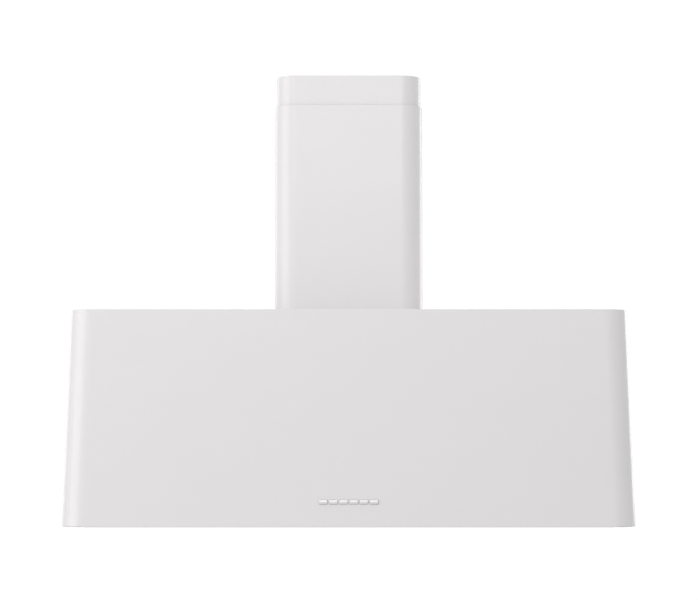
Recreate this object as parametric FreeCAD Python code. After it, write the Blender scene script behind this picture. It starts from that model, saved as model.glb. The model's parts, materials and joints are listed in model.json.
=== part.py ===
"""Island range hood, hanging from its ceiling plate on a telescopic frame inside a two-piece chimney.

Units are millimetres and +Z is up. The origin is the centre of the ceiling plate's top face, which is the
ceiling plane. The control side of the canopy faces -Y, and X runs along the canopy's width.
Each sub-part is written to parts/NODE.step.
"""

import FreeCAD
import Part
import math
import os

from FreeCAD import Vector

# ---------------------------------------------------------------------------------------------------------
# Driving sizes
# ---------------------------------------------------------------------------------------------------------

# Canopy, measured over its bottom rim.
CANOPY_WIDTH = 1000.0
CANOPY_DEPTH = 650.0
CANOPY_HEIGHT = 378.0
CANOPY_TAPER = 11.5  # how far each wall leans in between the rim and the top
CANOPY_CORNER_R = 42.0
SKIN = 1.2
RIM_FLANGE = 18.0  # the folded edge under each flat wall
CORNER_RELIEF = 1.7  # the rounded corners stop this far above the folded edge
TOP_PLATE = 1.5
TOP_PLATE_FLANGE = 16.0

# Chimney covers, square in plan with rounded corners.
CHIMNEY_WIDTH = 272.0
CHIMNEY_CORNER_R = 40.0
CHIMNEY_SHEET = 1.0
CHIMNEY_GAP = 2.0  # between the two telescoping covers
LOWER_CHIMNEY_HEIGHT = 388.0
UPPER_CHIMNEY_SHOWN = 55.0
UPPER_CHIMNEY_OVERLAP = 330.0

# Travel of the telescopic frame, counted from the height shown.
EXTEND = 250.0
RETRACT = 40.0

# Telescopic frame.
ANGLE_LEG = 25.0
ANGLE_SHEET = 2.0
ANGLE_CORNER_GAP = 2.0
ANGLE_SLIDE_GAP = 0.3
UPPER_ANGLE_LENGTH = 377.0
LOWER_ANGLE_LENGTH = 375.0
TIE_HEIGHT = 20.0
TIE_SHEET = 1.5
TIE_CORNER_R = 4.0
TIE_DROP = 310.0  # from the ceiling to the upper tie's top edge
CLAMP_SCREW_R = 2.5
CLAMP_SCREW_DROP = 352.0
CLAMP_SCREW_STAGGER = 15.0
SLOT_CLEARANCE = 0.7

# Ceiling plate and the base plate of the frame.
CEILING_PLATE = 3.0
CEILING_OPENING = 196.0
CEILING_FLANGE_HEIGHT = 22.0
CEILING_FLANGE_SHEET = 2.0
CEILING_FLANGE_WIDTH = 140.0
ANCHOR_HOLE_R = 4.5
ANCHOR_INSET = 7.0  # from the opening's edge to the anchor holes' centres
BASE_PLATE = 3.0

# Exhaust collar with its two damper flaps.
COLLAR_R = 75.0
COLLAR_WALL = 1.5
COLLAR_HEIGHT = 45.0
COLLAR_FLANGE = 21.0
COLLAR_FLANGE_SHEET = 2.0
COLLAR_MARGIN = 4.0  # from the collar's flange to the base plate's opening
DAMPER_PIN_R = 2.0
DAMPER_PIN_RISE = 13.0
FLAP_SHEET = 1.2
FLAP_RIM_GAP = 1.0
FLAP_ROOT = 4.0  # from the pin's axis to the flap's plate
KNUCKLE_R = 3.6
KNUCKLE_CLEARANCE = 0.3
KNUCKLE_LENGTH = 29.0
KNUCKLE_PITCH = 30.0

# Blower.
IMPELLER_R = 93.0
IMPELLER_HALF_WIDTH = 62.0
IMPELLER_SHEET = 2.0
HUB_R = 16.0
RING_DEPTH = 9.0
BLADE_DEPTH = 15.0
BLADE_RIM = 0.5  # from the blades' outer edge to the impeller's
BLADE_SHEET = 1.2
BLADE_COUNT = 24
VOLUTE_START_R = 105.0
VOLUTE_STEP = 20.0
VOLUTE_TONGUE = 15.0
HOUSING_WALL = 2.0
HOUSING_HALF_WIDTH = 75.0  # inside the housing
BLOWER_DROP = 165.0  # from the canopy's top to the impeller's axis
BLOWER_FLANGE_R = 112.0
INLET_R = 80.0
INLET_LIP = 10.0
MOTOR_R = 42.0
MOTOR_LENGTH = 96.0
SHAFT_R = 4.0
SHAFT_CLEARANCE = 0.05
RUBBER_HEIGHT = 3.7
BLOWER_SCREW_X = 86.0
BLOWER_SCREW_Y = 60.0

# Mains cable grommet in the canopy's top.
GROMMET_X = -86.0
GROMMET_Y = 88.0
GROMMET_BORE_R = 4.5
GROMMET_HOLE_R = 8.0
GROMMET_LIP = 2.0

# Underside.
RECESS = 22.0  # from the rim up to the underside panel
PAN = 1.0
FILTER_COUNT = 3
FILTER_SIDE_BAND = 57.5  # from the rim to the first and last bay, along X
FILTER_END_BAND = 115.0  # from the rim to the bays, along Y
FILTER_RIB = 15.0  # between two bays
FILTER_SIDE_GAP = 1.0
FILTER_HEIGHT = 10.0
FILTER_SHEET = 1.0
FILTER_FRAME = 14.0
FILTER_FRONT_FRAME = 30.0
HINGE_BEAD_R = 0.7
TAB_WIDTH = 30.0
TAB_SPREAD = 90.0
TAB_REACH = 8.0
BAFFLE_COUNT = 10
BAFFLE_WIDTH = 16.0
BAFFLE_HEIGHT = 4.0
BAFFLE_SHEET = 0.8
BAFFLE_RAIL = 3.0
PULL_WIDTH = 40.0
PULL_DROP = 10.0
PULL_INSET = 14.0
MAGNET_WIDTH = 30.0
MAGNET_DEPTH = 10.0
MAGNET_HEIGHT = 8.0
MAGNET_BRACKET = 1.5

# Lamps.
LAMP_X = 300.0
LAMP_MARGIN = 62.0  # from the rim's edge to the lamps' centres, along Y
LAMP_R = 30.0
LAMP_FLANGE_R = 34.0
LAMP_FLANGE = 1.6
LAMP_SLEEVE = 12.0
LAMP_WINDOW_R = 24.0
LENS = 3.0
LAMP_MODULE = 24.0

# Push buttons and what is behind them.
BUTTON_COUNT = 6
BUTTON_PITCH = 17.6
BUTTON_WIDTH = 14.5
BUTTON_HEIGHT = 7.6
BUTTON_PROUD = 2.2
BUTTON_TRAVEL = 1.2
BUTTON_RISE = 43.4  # from the rim to the buttons' centre
BUTTON_FLANGE = 0.5  # how far the hidden flange reaches past the cap at each end
BUTTON_STEM = 5.0
GUIDE_DEPTH = 14.3
GUIDE_HEIGHT = 22.0
GUIDE_MARGIN = 14.0
BOARD = 1.6
SWITCH_SIZE = 6.0
SWITCH_HEIGHT = 3.5

# Electronics box under the canopy's top.
BOX_INSET = 70.0  # from the rim's left edge
BOX_LENGTH = 200.0
BOX_HALF_DEPTH = 80.0
BOX_HEIGHT = 50.0
BOX_WALL = 2.0

CLEARANCE = 0.3  # between parts that slip past each other
SEAT = 0.2  # between parts that are fixed to each other round a curve
THREAD_GAP = 0.02  # between a screw or shaft and what grips it
CABLE_R = 3.0
CONNECTOR = 12.0
CONNECTOR_DEPTH = 12.0

# ---------------------------------------------------------------------------------------------------------
# Levels and half-sizes that follow from them
# ---------------------------------------------------------------------------------------------------------

COVER_JOINT_Z = -UPPER_CHIMNEY_SHOWN
CANOPY_TOP_Z = COVER_JOINT_Z - LOWER_CHIMNEY_HEIGHT
RIM_Z = CANOPY_TOP_Z - CANOPY_HEIGHT
TOP_UNDER_Z = CANOPY_TOP_Z - TOP_PLATE
PAN_Z = RIM_Z + RECESS  # underside of the panel
PAN_TOP_Z = PAN_Z + PAN

LOWER_HALF = CHIMNEY_WIDTH / 2
LOWER_INNER = LOWER_HALF - CHIMNEY_SHEET
LOWER_INNER_R = CHIMNEY_CORNER_R - CHIMNEY_SHEET
UPPER_HALF = LOWER_INNER - CHIMNEY_GAP
UPPER_R = LOWER_INNER_R - CHIMNEY_GAP
UPPER_INNER = UPPER_HALF - CHIMNEY_SHEET
UPPER_INNER_R = UPPER_R - CHIMNEY_SHEET
UPPER_BOTTOM_Z = COVER_JOINT_Z - UPPER_CHIMNEY_OVERLAP

# The outer corner of the lower angles stands clear of the cover's rounded corner.
ANGLE_HALF = UPPER_INNER - UPPER_INNER_R + (UPPER_INNER_R - ANGLE_CORNER_GAP) / math.sqrt(2)
UPPER_ANGLE_HALF = ANGLE_HALF - ANGLE_SHEET - ANGLE_SLIDE_GAP
BASE_TOP_Z = CANOPY_TOP_Z + BASE_PLATE
LOWER_ANGLE_TOP_Z = BASE_TOP_Z + LOWER_ANGLE_LENGTH
COLLAR_FLANGE_R = COLLAR_R + COLLAR_FLANGE
BASE_OPENING = COLLAR_FLANGE_R + COLLAR_MARGIN

BLOWER_FLANGE_Z = TOP_UNDER_Z - RUBBER_HEIGHT
DUCT_HALF = COLLAR_R  # half the square mouth of the blower
AXIS_Y = DUCT_HALF - VOLUTE_START_R - 3 * VOLUTE_STEP
AXIS_Z = CANOPY_TOP_Z - BLOWER_DROP

FILTER_RIBS = (FILTER_COUNT - 1) * FILTER_RIB
FILTER_BAY_WIDTH = (CANOPY_WIDTH - 2 * FILTER_SIDE_BAND - FILTER_RIBS) / FILTER_COUNT
FILTER_BAY_DEPTH = CANOPY_DEPTH - 2 * FILTER_END_BAND
FILTER_PITCH = FILTER_BAY_WIDTH + FILTER_RIB
BOX_X0 = BOX_INSET - CANOPY_WIDTH / 2
BOX_X1 = BOX_X0 + BOX_LENGTH

CORNERS = [(sx, sy) for sx in (-1, 1) for sy in (-1, 1)]


# ---------------------------------------------------------------------------------------------------------
# Shapes used throughout
# ---------------------------------------------------------------------------------------------------------


def box(x0, x1, y0, y1, z0, z1):
    """A box between two corners, given in any order along each axis."""
    low = Vector(min(x0, x1), min(y0, y1), min(z0, z1))
    return Part.makeBox(abs(x1 - x0), abs(y1 - y0), abs(z1 - z0), low)


def rod(radius, start, end):
    """A round bar from start to end."""
    along = Vector(end) - Vector(start)
    return Part.makeCylinder(radius, along.Length, Vector(start), along)


def tube(outer_r, inner_r, start, end):
    """A round tube from start to end."""
    return rod(outer_r, start, end).cut(rod(inner_r, start, end))


def fuse(shapes):
    """One solid from shapes that touch or overlap."""
    shapes = list(shapes)
    return shapes[0].fuse(shapes[1:]).removeSplitter()


def rounded_outline(half_x, half_y, radius, z):
    """A closed rounded rectangle round the Z axis, at height z."""
    turn = radius * math.sqrt(0.5)
    edges = []
    corners = [(1, 1), (-1, 1), (-1, -1), (1, -1)]
    ends = []
    for sx, sy in corners:
        centre = (sx * (half_x - radius), sy * (half_y - radius))
        on_x = Vector(sx * half_x, centre[1], z)
        on_y = Vector(centre[0], sy * half_y, z)
        middle = Vector(centre[0] + sx * turn, centre[1] + sy * turn, z)
        first, last = (on_x, on_y) if sx * sy > 0 else (on_y, on_x)
        ends.append((first, last))
        edges.append((Part.Arc(first, middle, last).toShape(), first, last))
    outline = []
    for index, (arc, _, last) in enumerate(edges):
        outline.append(arc)
        outline.append(Part.makeLine(last, ends[(index + 1) % 4][0]))
    return Part.Wire(outline)


def rounded_prism(half_x, half_y, radius, z0, z1):
    """A straight prism with a rounded rectangular section."""
    return Part.Face(rounded_outline(half_x, half_y, radius, z0)).extrude(Vector(0, 0, z1 - z0))


def square_tube(half, radius, sheet, z0, z1):
    """A straight cover, square with rounded corners."""
    inner = rounded_prism(half - sheet, half - sheet, radius - sheet, z0, z1)
    return rounded_prism(half, half, radius, z0, z1).cut(inner)


def canopy_half(z):
    """Outer half-width and half-depth of the canopy at height z."""
    lean = CANOPY_TAPER * (z - RIM_Z) / CANOPY_HEIGHT
    return CANOPY_WIDTH / 2 - lean, CANOPY_DEPTH / 2 - lean


def canopy_prism(inset, z0, z1):
    """The canopy's leaning outline from z0 to z1, taken in by inset all round."""
    wires = []
    for z in (z0, z1):
        half_x, half_y = canopy_half(z)
        wires.append(rounded_outline(half_x - inset, half_y - inset, CANOPY_CORNER_R - inset, z))
    return Part.makeLoft(wires, True, True)


def screw(seat, direction, shank_r, length, head_r, head_height):
    """A screw with a slotted head on seat and its shank along direction."""
    along = Vector(direction)
    along.normalize()
    seat = Vector(seat)
    top = seat - along * head_height
    head = Part.makeCylinder(head_r, head_height, top, along)
    slot = Part.makeBox(2 * head_r, head_r / 4, head_height, Vector(-head_r, -head_r / 8, -head_height / 2))
    slot.Placement = FreeCAD.Placement(top, FreeCAD.Rotation(Vector(0, 0, 1), along)).multiply(slot.Placement)
    shank = Part.makeCylinder(shank_r, length, seat, along)
    return fuse([head.cut(slot), shank])


def hexagon_nut(seat, direction, bore_r, width, height):
    """A hexagon nut on seat, growing along direction."""
    turns = [index * math.pi / 3 for index in range(6)]
    corners = [Vector(math.cos(turn), math.sin(turn), 0) * (width / 2) for turn in turns]
    face = Part.Face(Part.makePolygon(corners + [corners[0]]))
    nut = face.extrude(Vector(0, 0, height)).cut(rod(bore_r, (0, 0, 0), (0, 0, height)))
    nut.Placement = FreeCAD.Placement(Vector(seat), FreeCAD.Rotation(Vector(0, 0, 1), Vector(direction)))
    return nut


def cable(points, radius):
    """A round cable along straight runs joined by tangent arcs, each as large as its two runs allow."""
    points = [Vector(p) for p in points]
    edges, begin = [], points[0]
    for before, corner, after in zip(points, points[1:], points[2:]):
        back, ahead = before - corner, after - corner
        half_turn = (math.pi - back.getAngle(ahead)) / 2
        bend = 0.45 * min(back.Length, ahead.Length) / math.tan(half_turn)
        cut_off = bend * math.tan(half_turn)
        back.normalize()
        ahead.normalize()
        first, last = corner + back * cut_off, corner + ahead * cut_off
        inward = back + ahead
        inward.normalize()
        middle = corner + inward * (bend / math.cos(half_turn) - bend)
        edges.append(Part.makeLine(begin, first))
        edges.append(Part.Arc(first, middle, last).toShape())
        begin = last
    edges.append(Part.makeLine(begin, points[-1]))
    path = Part.Wire(edges)
    circle = Part.Circle(points[0], points[1] - points[0], radius)
    section = Part.Wire([circle.toShape()])
    return path.makePipeShell([section], True, True)


# ---------------------------------------------------------------------------------------------------------
# Ceiling side: plate, upper angles, upper cover
# ---------------------------------------------------------------------------------------------------------


def ceiling_plate():
    """Square ring under the ceiling, with anchor holes and down-turned flanges for the upper cover."""
    half = UPPER_INNER - SEAT
    opening = CEILING_OPENING / 2
    plate = rounded_prism(half, half, UPPER_INNER_R, -CEILING_PLATE, 0)
    plate = plate.cut(rounded_prism(opening, opening, ANCHOR_INSET + ANCHOR_HOLE_R, -CEILING_PLATE, 0))
    anchor = anchor_offset()
    for sx, sy in CORNERS:
        x, y = sx * anchor, sy * anchor
        plate = plate.cut(rod(ANCHOR_HOLE_R, (x, y, -CEILING_PLATE), (x, y, 0)))
    inner = half - CEILING_FLANGE_SHEET
    low, wide = -CEILING_FLANGE_HEIGHT, CEILING_FLANGE_WIDTH / 2
    flanges = []
    for side in (-1, 1):
        flanges.append(box(side * inner, side * half, -wide, wide, low, -CEILING_PLATE))
        flanges.append(box(-wide, wide, side * inner, side * half, low, -CEILING_PLATE))
    plate = fuse([plate] + flanges)
    for seat, direction in cover_screw_places():
        plate = plate.cut(rod(COVER_SCREW_R + SEAT, Vector(seat), Vector(seat) + Vector(direction) * 8))
    return plate


def anchor_offset():
    """Distance of the anchor holes from the centre, along X and along Y."""
    return CEILING_OPENING / 2 + ANCHOR_INSET


COVER_SCREW_R = 1.9
COVER_SCREW_HEAD = 1.3
COVER_SCREW_LENGTH = 6.0
COVER_SCREW_DROP = 12.0
COVER_SCREW_SPREAD = 45.0


def cover_screw_places():
    """Seat and direction of the screws that hold the upper cover to the ceiling plate."""
    places = []
    for side in (-1, 1):
        for along in (-1, 1):
            seat = (side * UPPER_HALF, along * COVER_SCREW_SPREAD, -COVER_SCREW_DROP)
            places.append((seat, (-side, 0, 0)))
    return places


def upper_chimney():
    """Upper chimney cover, screwed to the ceiling plate."""
    cover = square_tube(UPPER_HALF, UPPER_R, CHIMNEY_SHEET, UPPER_BOTTOM_Z, 0)
    for seat, direction in cover_screw_places():
        cover = cover.cut(rod(COVER_SCREW_R + SEAT, Vector(seat), Vector(seat) + Vector(direction) * 3))
    return cover


def upper_chimney_screws():
    """Low-headed screws of the upper cover."""
    screws = []
    for seat, direction in cover_screw_places():
        screws.append(screw(seat, direction, COVER_SCREW_R, COVER_SCREW_LENGTH, 3.5, COVER_SCREW_HEAD))
    return screws


def angle(sx, sy, outer, z0, z1):
    """An angle section whose outer corner stands at (sx, sy) times outer."""
    leg = outer - ANGLE_LEG
    thick = outer - ANGLE_SHEET
    along_y = box(sx * thick, sx * outer, sy * leg, sy * outer, z0, z1)
    along_x = box(sx * leg, sx * outer, sy * thick, sy * outer, z0, z1)
    return fuse([along_y, along_x])


def clamp_places():
    """Point on the lower angle's outer face, inward direction and height of each clamp screw."""
    middle = UPPER_ANGLE_HALF - ANGLE_SHEET - (ANGLE_LEG - ANGLE_SHEET) / 2
    places = []
    for sx, sy in CORNERS:
        places.append(((sx * ANGLE_HALF, sy * middle), (-sx, 0, 0), -CLAMP_SCREW_DROP))
        places.append(((sx * middle, sy * ANGLE_HALF), (0, -sy, 0), -CLAMP_SCREW_DROP - CLAMP_SCREW_STAGGER))
    return places


def upper_angles():
    """Four uprights that hang from the ceiling plate, drilled for the clamp screws."""
    uprights = []
    for sx, sy in CORNERS:
        upright = angle(sx, sy, UPPER_ANGLE_HALF, -CEILING_PLATE - UPPER_ANGLE_LENGTH, -CEILING_PLATE)
        for (x, y), direction, z in clamp_places():
            if x * sx > 0 and y * sy > 0:
                start = Vector(x, y, z)
                upright = upright.cut(rod(CLAMP_SCREW_R + SEAT, start, start + Vector(direction) * 8))
        uprights.append(upright)
    return uprights


def upper_tie_frame():
    """Belt that holds the upper angles square."""
    half = UPPER_ANGLE_HALF - ANGLE_SHEET
    z1 = -TIE_DROP
    z0 = z1 - TIE_HEIGHT
    inner = half - TIE_SHEET
    return box(-half, half, -half, half, z0, z1).cut(box(-inner, inner, -inner, inner, z0, z1))


CLAMP_HEAD_R = 4.5
CLAMP_HEAD = 3.0
CLAMP_NUT = 4.0
CLAMP_NUT_WIDTH = 9.2


def frame_clamp_screws():
    """Screws with nuts that clamp the upper angles to the slotted lower angles."""
    pieces = []
    grip = 2 * ANGLE_SHEET + ANGLE_SLIDE_GAP + SEAT
    for (x, y), direction, z in clamp_places():
        along = Vector(direction)
        seat = Vector(x, y, z) - along * SEAT
        pieces.append(screw(seat, along, CLAMP_SCREW_R, grip + CLAMP_NUT + 1, CLAMP_HEAD_R, CLAMP_HEAD))
        far_side = seat + along * grip
        pieces.append(hexagon_nut(far_side, along, CLAMP_SCREW_R + THREAD_GAP, CLAMP_NUT_WIDTH, CLAMP_NUT))
    return pieces


# ---------------------------------------------------------------------------------------------------------
# Hood side of the frame, and the lower cover
# ---------------------------------------------------------------------------------------------------------


def lower_angles():
    """Four uprights on the base plate, with the long slots that the clamp screws run in."""
    uprights = []
    half_slot = CLAMP_SCREW_R + SLOT_CLEARANCE
    for sx, sy in CORNERS:
        upright = angle(sx, sy, ANGLE_HALF, BASE_TOP_Z, LOWER_ANGLE_TOP_Z)
        for (x, y), direction, z in clamp_places():
            if x * sx > 0 and y * sy > 0:
                z0, z1 = z - RETRACT - 1, z + EXTEND + 1
                start = Vector(x, y, 0) - Vector(direction)
                end = start + Vector(direction) * (ANGLE_SHEET + 2)
                across = Vector(direction[1], direction[0], 0) * half_slot
                low, high = start - across, end + across
                slot = [box(low.x, high.x, low.y, high.y, z0, z1)]
                for level in (z0, z1):
                    lift = Vector(0, 0, level)
                    slot.append(rod(half_slot, start + lift, end + lift))
                upright = upright.cut(fuse(slot))
        uprights.append(upright)
    return uprights


def lower_tie_frame():
    """Belt round the tops of the lower angles."""
    outer = ANGLE_HALF + TIE_SHEET
    z1 = LOWER_ANGLE_TOP_Z
    z0 = z1 - TIE_HEIGHT
    belt = rounded_prism(outer, outer, TIE_CORNER_R, z0, z1)
    return belt.cut(box(-ANGLE_HALF, ANGLE_HALF, -ANGLE_HALF, ANGLE_HALF, z0, z1))


BASE_SCREW_R = 2.5
BASE_SCREW_SPREAD = 50.0


def base_screw_places():
    """Where the base plate is screwed to the canopy's top, in the middle of its four bars."""
    middle = (BASE_OPENING + LOWER_INNER) / 2
    places = []
    for side in (-1, 1):
        for along in (-1, 1):
            places.append((side * middle, along * BASE_SCREW_SPREAD))
            places.append((along * BASE_SCREW_SPREAD, side * middle))
    return places


def frame_base():
    """Ring plate that carries the lower angles and locates the lower cover."""
    half = LOWER_INNER - CLEARANCE
    ring = rounded_prism(half, half, LOWER_INNER_R - CLEARANCE, CANOPY_TOP_Z, BASE_TOP_Z)
    ring = ring.cut(rounded_prism(BASE_OPENING, BASE_OPENING, 8, CANOPY_TOP_Z, BASE_TOP_Z))
    for x, y in base_screw_places():
        ring = ring.cut(rod(BASE_SCREW_R + SEAT, (x, y, CANOPY_TOP_Z), (x, y, BASE_TOP_Z)))
    return ring


def frame_base_screws():
    """Screws from the base plate into the canopy's top plate."""
    length = BASE_PLATE + TOP_PLATE + 5
    seats = [(x, y, BASE_TOP_Z) for x, y in base_screw_places()]
    return [screw(seat, (0, 0, -1), BASE_SCREW_R, length, 4.5, 3) for seat in seats]


def lower_chimney():
    """Lower chimney cover, which stands on the canopy and slides up over the upper one."""
    return square_tube(LOWER_HALF, CHIMNEY_CORNER_R, CHIMNEY_SHEET, CANOPY_TOP_Z, COVER_JOINT_Z)


# ---------------------------------------------------------------------------------------------------------
# Canopy
# ---------------------------------------------------------------------------------------------------------


def button_frame():
    """Placement of the control strip: Y runs in from the front wall's outer face, Z up along it."""
    lean = math.degrees(math.atan(CANOPY_TAPER / CANOPY_HEIGHT))
    z = RIM_Z + BUTTON_RISE
    return FreeCAD.Placement(Vector(0, -canopy_half(z)[1], z), FreeCAD.Rotation(Vector(1, 0, 0), -lean))


def button_centres():
    """X of each push button's centre."""
    return [(index - (BUTTON_COUNT - 1) / 2) * BUTTON_PITCH for index in range(BUTTON_COUNT)]


def button_slots():
    """What the buttons' slots take out of the front wall."""
    half_x = BUTTON_WIDTH / 2 + CLEARANCE
    half_z = BUTTON_HEIGHT / 2 + CLEARANCE
    cuts = []
    for x in button_centres():
        cut = box(x - half_x, x + half_x, -2 * SKIN, 2.5 * SKIN, -half_z, half_z)
        cut.Placement = button_frame()
        cuts.append(cut)
    return cuts


def canopy_skin():
    """Four leaning walls in one wrapped sheet, with a folded edge under each flat wall."""
    walls = canopy_prism(0, RIM_Z, CANOPY_TOP_Z).cut(canopy_prism(SKIN, RIM_Z - 1, CANOPY_TOP_Z + 1))
    half_x, half_y = canopy_half(RIM_Z)
    flat_x, flat_y = half_x - CANOPY_CORNER_R, half_y - CANOPY_CORNER_R
    relief_z = RIM_Z + CORNER_RELIEF
    for sx, sy in CORNERS:
        far_x, far_y = half_x + 1, half_y + 1
        walls = walls.cut(box(sx * flat_x, sx * far_x, sy * flat_y, sy * far_y, RIM_Z - 1, relief_z))
    folded = [walls]
    for side in (-1, 1):
        outer_x, outer_y = side * (half_x - SKIN / 2), side * (half_y - SKIN / 2)
        inner_x, inner_y = side * (half_x - RIM_FLANGE), side * (half_y - RIM_FLANGE)
        folded.append(box(-flat_x, flat_x, inner_y, outer_y, RIM_Z, RIM_Z + SKIN))
        folded.append(box(inner_x, outer_x, -flat_y, flat_y, RIM_Z, RIM_Z + SKIN))
    return fuse(folded).cut(button_slots())


def canopy_top_plate():
    """Top of the canopy, with down-turned flanges, the duct hole, and the grommet and screw holes."""
    half_x, half_y = canopy_half(CANOPY_TOP_Z)
    half_x, half_y = half_x - SKIN - SEAT, half_y - SKIN - SEAT
    flat_x, flat_y = half_x - CANOPY_CORNER_R, half_y - CANOPY_CORNER_R
    plate = rounded_prism(half_x, half_y, CANOPY_CORNER_R - SKIN, TOP_UNDER_Z, CANOPY_TOP_Z)
    flange_z = TOP_UNDER_Z - TOP_PLATE_FLANGE
    pieces = [plate]
    for side in (-1, 1):
        pieces.append(box(-flat_x, flat_x, side * (half_y - TOP_PLATE), side * half_y, flange_z, TOP_UNDER_Z))
        pieces.append(box(side * (half_x - TOP_PLATE), side * half_x, -flat_y, flat_y, flange_z, TOP_UNDER_Z))
    plate = fuse(pieces)
    holes = [(0, 0, COLLAR_R - COLLAR_WALL), (GROMMET_X, GROMMET_Y, GROMMET_HOLE_R)]
    holes += [(x, y, BASE_SCREW_R + SEAT) for x, y in base_screw_places()]
    holes += [(x, y, BLOWER_SCREW_R + SEAT) for x, y in blower_screw_places()]
    for x, y, radius in holes:
        plate = plate.cut(rod(radius, (x, y, TOP_UNDER_Z - 1), (x, y, CANOPY_TOP_Z + 1)))
    return plate


def cable_grommet():
    """Rubber grommet for the mains cable, with a lip above and below the top plate."""
    x, y = GROMMET_X, GROMMET_Y
    low, high = TOP_UNDER_Z - GROMMET_LIP, CANOPY_TOP_Z + GROMMET_LIP
    body = rod(GROMMET_HOLE_R - 0.05, (x, y, low), (x, y, high))
    lips = [
        rod(GROMMET_HOLE_R + 2, (x, y, low), (x, y, TOP_UNDER_Z)),
        rod(GROMMET_HOLE_R + 2, (x, y, CANOPY_TOP_Z), (x, y, high)),
    ]
    return fuse([body] + lips).cut(rod(GROMMET_BORE_R, (x, y, low - 1), (x, y, high + 1)))


# ---------------------------------------------------------------------------------------------------------
# Exhaust collar and damper
# ---------------------------------------------------------------------------------------------------------

DAMPER_Z = CANOPY_TOP_Z + DAMPER_PIN_RISE
COLLAR_TOP_Z = CANOPY_TOP_Z + COLLAR_HEIGHT


def damper_pin_shape(extra):
    """The damper pin, with extra added to its radius."""
    return rod(DAMPER_PIN_R + extra, (0, -COLLAR_R, DAMPER_Z), (0, COLLAR_R, DAMPER_Z))


def outlet_collar():
    """Round spigot for the exhaust duct, on a flange, with the ledge that the closed flaps lie on."""
    bore = COLLAR_R - COLLAR_WALL
    flange = tube(COLLAR_FLANGE_R, bore, (0, 0, CANOPY_TOP_Z), (0, 0, CANOPY_TOP_Z + COLLAR_FLANGE_SHEET))
    spigot = tube(COLLAR_R, bore, (0, 0, CANOPY_TOP_Z), (0, 0, COLLAR_TOP_Z))
    ledge_z = DAMPER_Z - FLAP_SHEET / 2 - CLEARANCE
    ledge = tube(bore + 0.5, bore - 4, (0, 0, ledge_z - 1.5), (0, 0, ledge_z))
    return fuse([flange, spigot, ledge]).cut(damper_pin_shape(0.05))


def damper_flap(side):
    """Half-round flap on the side's half of the bore, with two knuckles round the pin."""
    radius = COLLAR_R - COLLAR_WALL - FLAP_RIM_GAP
    low, high = DAMPER_Z - FLAP_SHEET / 2, DAMPER_Z + FLAP_SHEET / 2
    half_plane = box(side * FLAP_ROOT, side * (radius + 1), -radius - 1, radius + 1, low, high)
    plate = rod(radius, (0, 0, low), (0, 0, high)).common(half_plane)
    pieces = [plate]
    for start in (-2 * KNUCKLE_PITCH, 0) if side > 0 else (-KNUCKLE_PITCH, KNUCKLE_PITCH):
        y0 = start + (KNUCKLE_PITCH - KNUCKLE_LENGTH) / 2
        y1 = y0 + KNUCKLE_LENGTH
        bored = tube(KNUCKLE_R, DAMPER_PIN_R + KNUCKLE_CLEARANCE, (0, y0, DAMPER_Z), (0, y1, DAMPER_Z))
        web = box(side * (KNUCKLE_R - 0.5), side * (FLAP_ROOT + 1), y0, y1, low, high)
        pieces += [bored, web]
    return fuse(pieces)


# ---------------------------------------------------------------------------------------------------------
# Blower
# ---------------------------------------------------------------------------------------------------------

BLOWER_SCREW_R = 2.5


def blower_screw_places():
    """Where the blower hangs from the canopy's top plate."""
    return [(sx * BLOWER_SCREW_X, sy * BLOWER_SCREW_Y) for sx, sy in CORNERS]


def volute_outline(offset, x):
    """Outline of the scroll in the plane at x: three widening quarter arcs and a mouth going up."""
    y, z, top = AXIS_Y, AXIS_Z, BLOWER_FLANGE_Z
    radius = VOLUTE_START_R
    tongue_y = y + VOLUTE_TONGUE - offset
    arcs, point = [], Vector(x, y, z + radius + offset)
    outline = [Part.makeLine(Vector(x, tongue_y, top), Vector(x, tongue_y, point.z))]
    outline.append(Part.makeLine(Vector(x, tongue_y, point.z), point))
    quarters = [(0, 0, 90), (1, 0, 180), (1, 1, 270)]
    for count, (step_y, step_z, start) in enumerate(quarters):
        centre = Vector(x, y + step_y * VOLUTE_STEP, z + step_z * VOLUTE_STEP)
        reach = radius + count * VOLUTE_STEP + offset
        ends = []
        for angle_now in (start, start + 45, start + 90):
            turn = math.radians(angle_now)
            ends.append(centre + Vector(0, math.cos(turn), math.sin(turn)) * reach)
        arcs.append(Part.Arc(*ends).toShape())
        point = ends[-1]
    outline += arcs
    outline.append(Part.makeLine(point, Vector(x, point.y, top)))
    outline.append(Part.makeLine(Vector(x, point.y, top), Vector(x, tongue_y, top)))
    return Part.Wire(outline)


def housing_half(side):
    """One half of the scroll housing, split at the impeller's middle, with its inlet and flange."""
    outer = side * (HOUSING_HALF_WIDTH + HOUSING_WALL)
    inner = side * HOUSING_HALF_WIDTH
    case = Part.Face(volute_outline(HOUSING_WALL, 0)).extrude(Vector(outer, 0, 0))
    case = case.cut(Part.Face(volute_outline(0, 0)).extrude(Vector(inner, 0, 0)))
    lip_x = outer + side * INLET_LIP
    lip = rod(INLET_R + HOUSING_WALL, (inner, AXIS_Y, AXIS_Z), (lip_x, AXIS_Y, AXIS_Z))
    low, high = BLOWER_FLANGE_Z - HOUSING_WALL, BLOWER_FLANGE_Z
    flange = rod(BLOWER_FLANGE_R, (0, 0, low), (0, 0, high))
    flange = flange.common(box(0, side * BLOWER_FLANGE_R, -BLOWER_FLANGE_R, BLOWER_FLANGE_R, low, high))
    half = fuse([case, lip, flange])
    half = half.cut(rod(INLET_R, (side, AXIS_Y, AXIS_Z), (lip_x + side, AXIS_Y, AXIS_Z)))
    half = half.cut(rod(COLLAR_R - COLLAR_WALL, (0, 0, low - 1), (0, 0, high + 1)))
    for x, y in blower_screw_places():
        half = half.cut(rod(BLOWER_SCREW_R + SEAT, (x, y, low - 1), (x, y, high + 1)))
    return half


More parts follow.
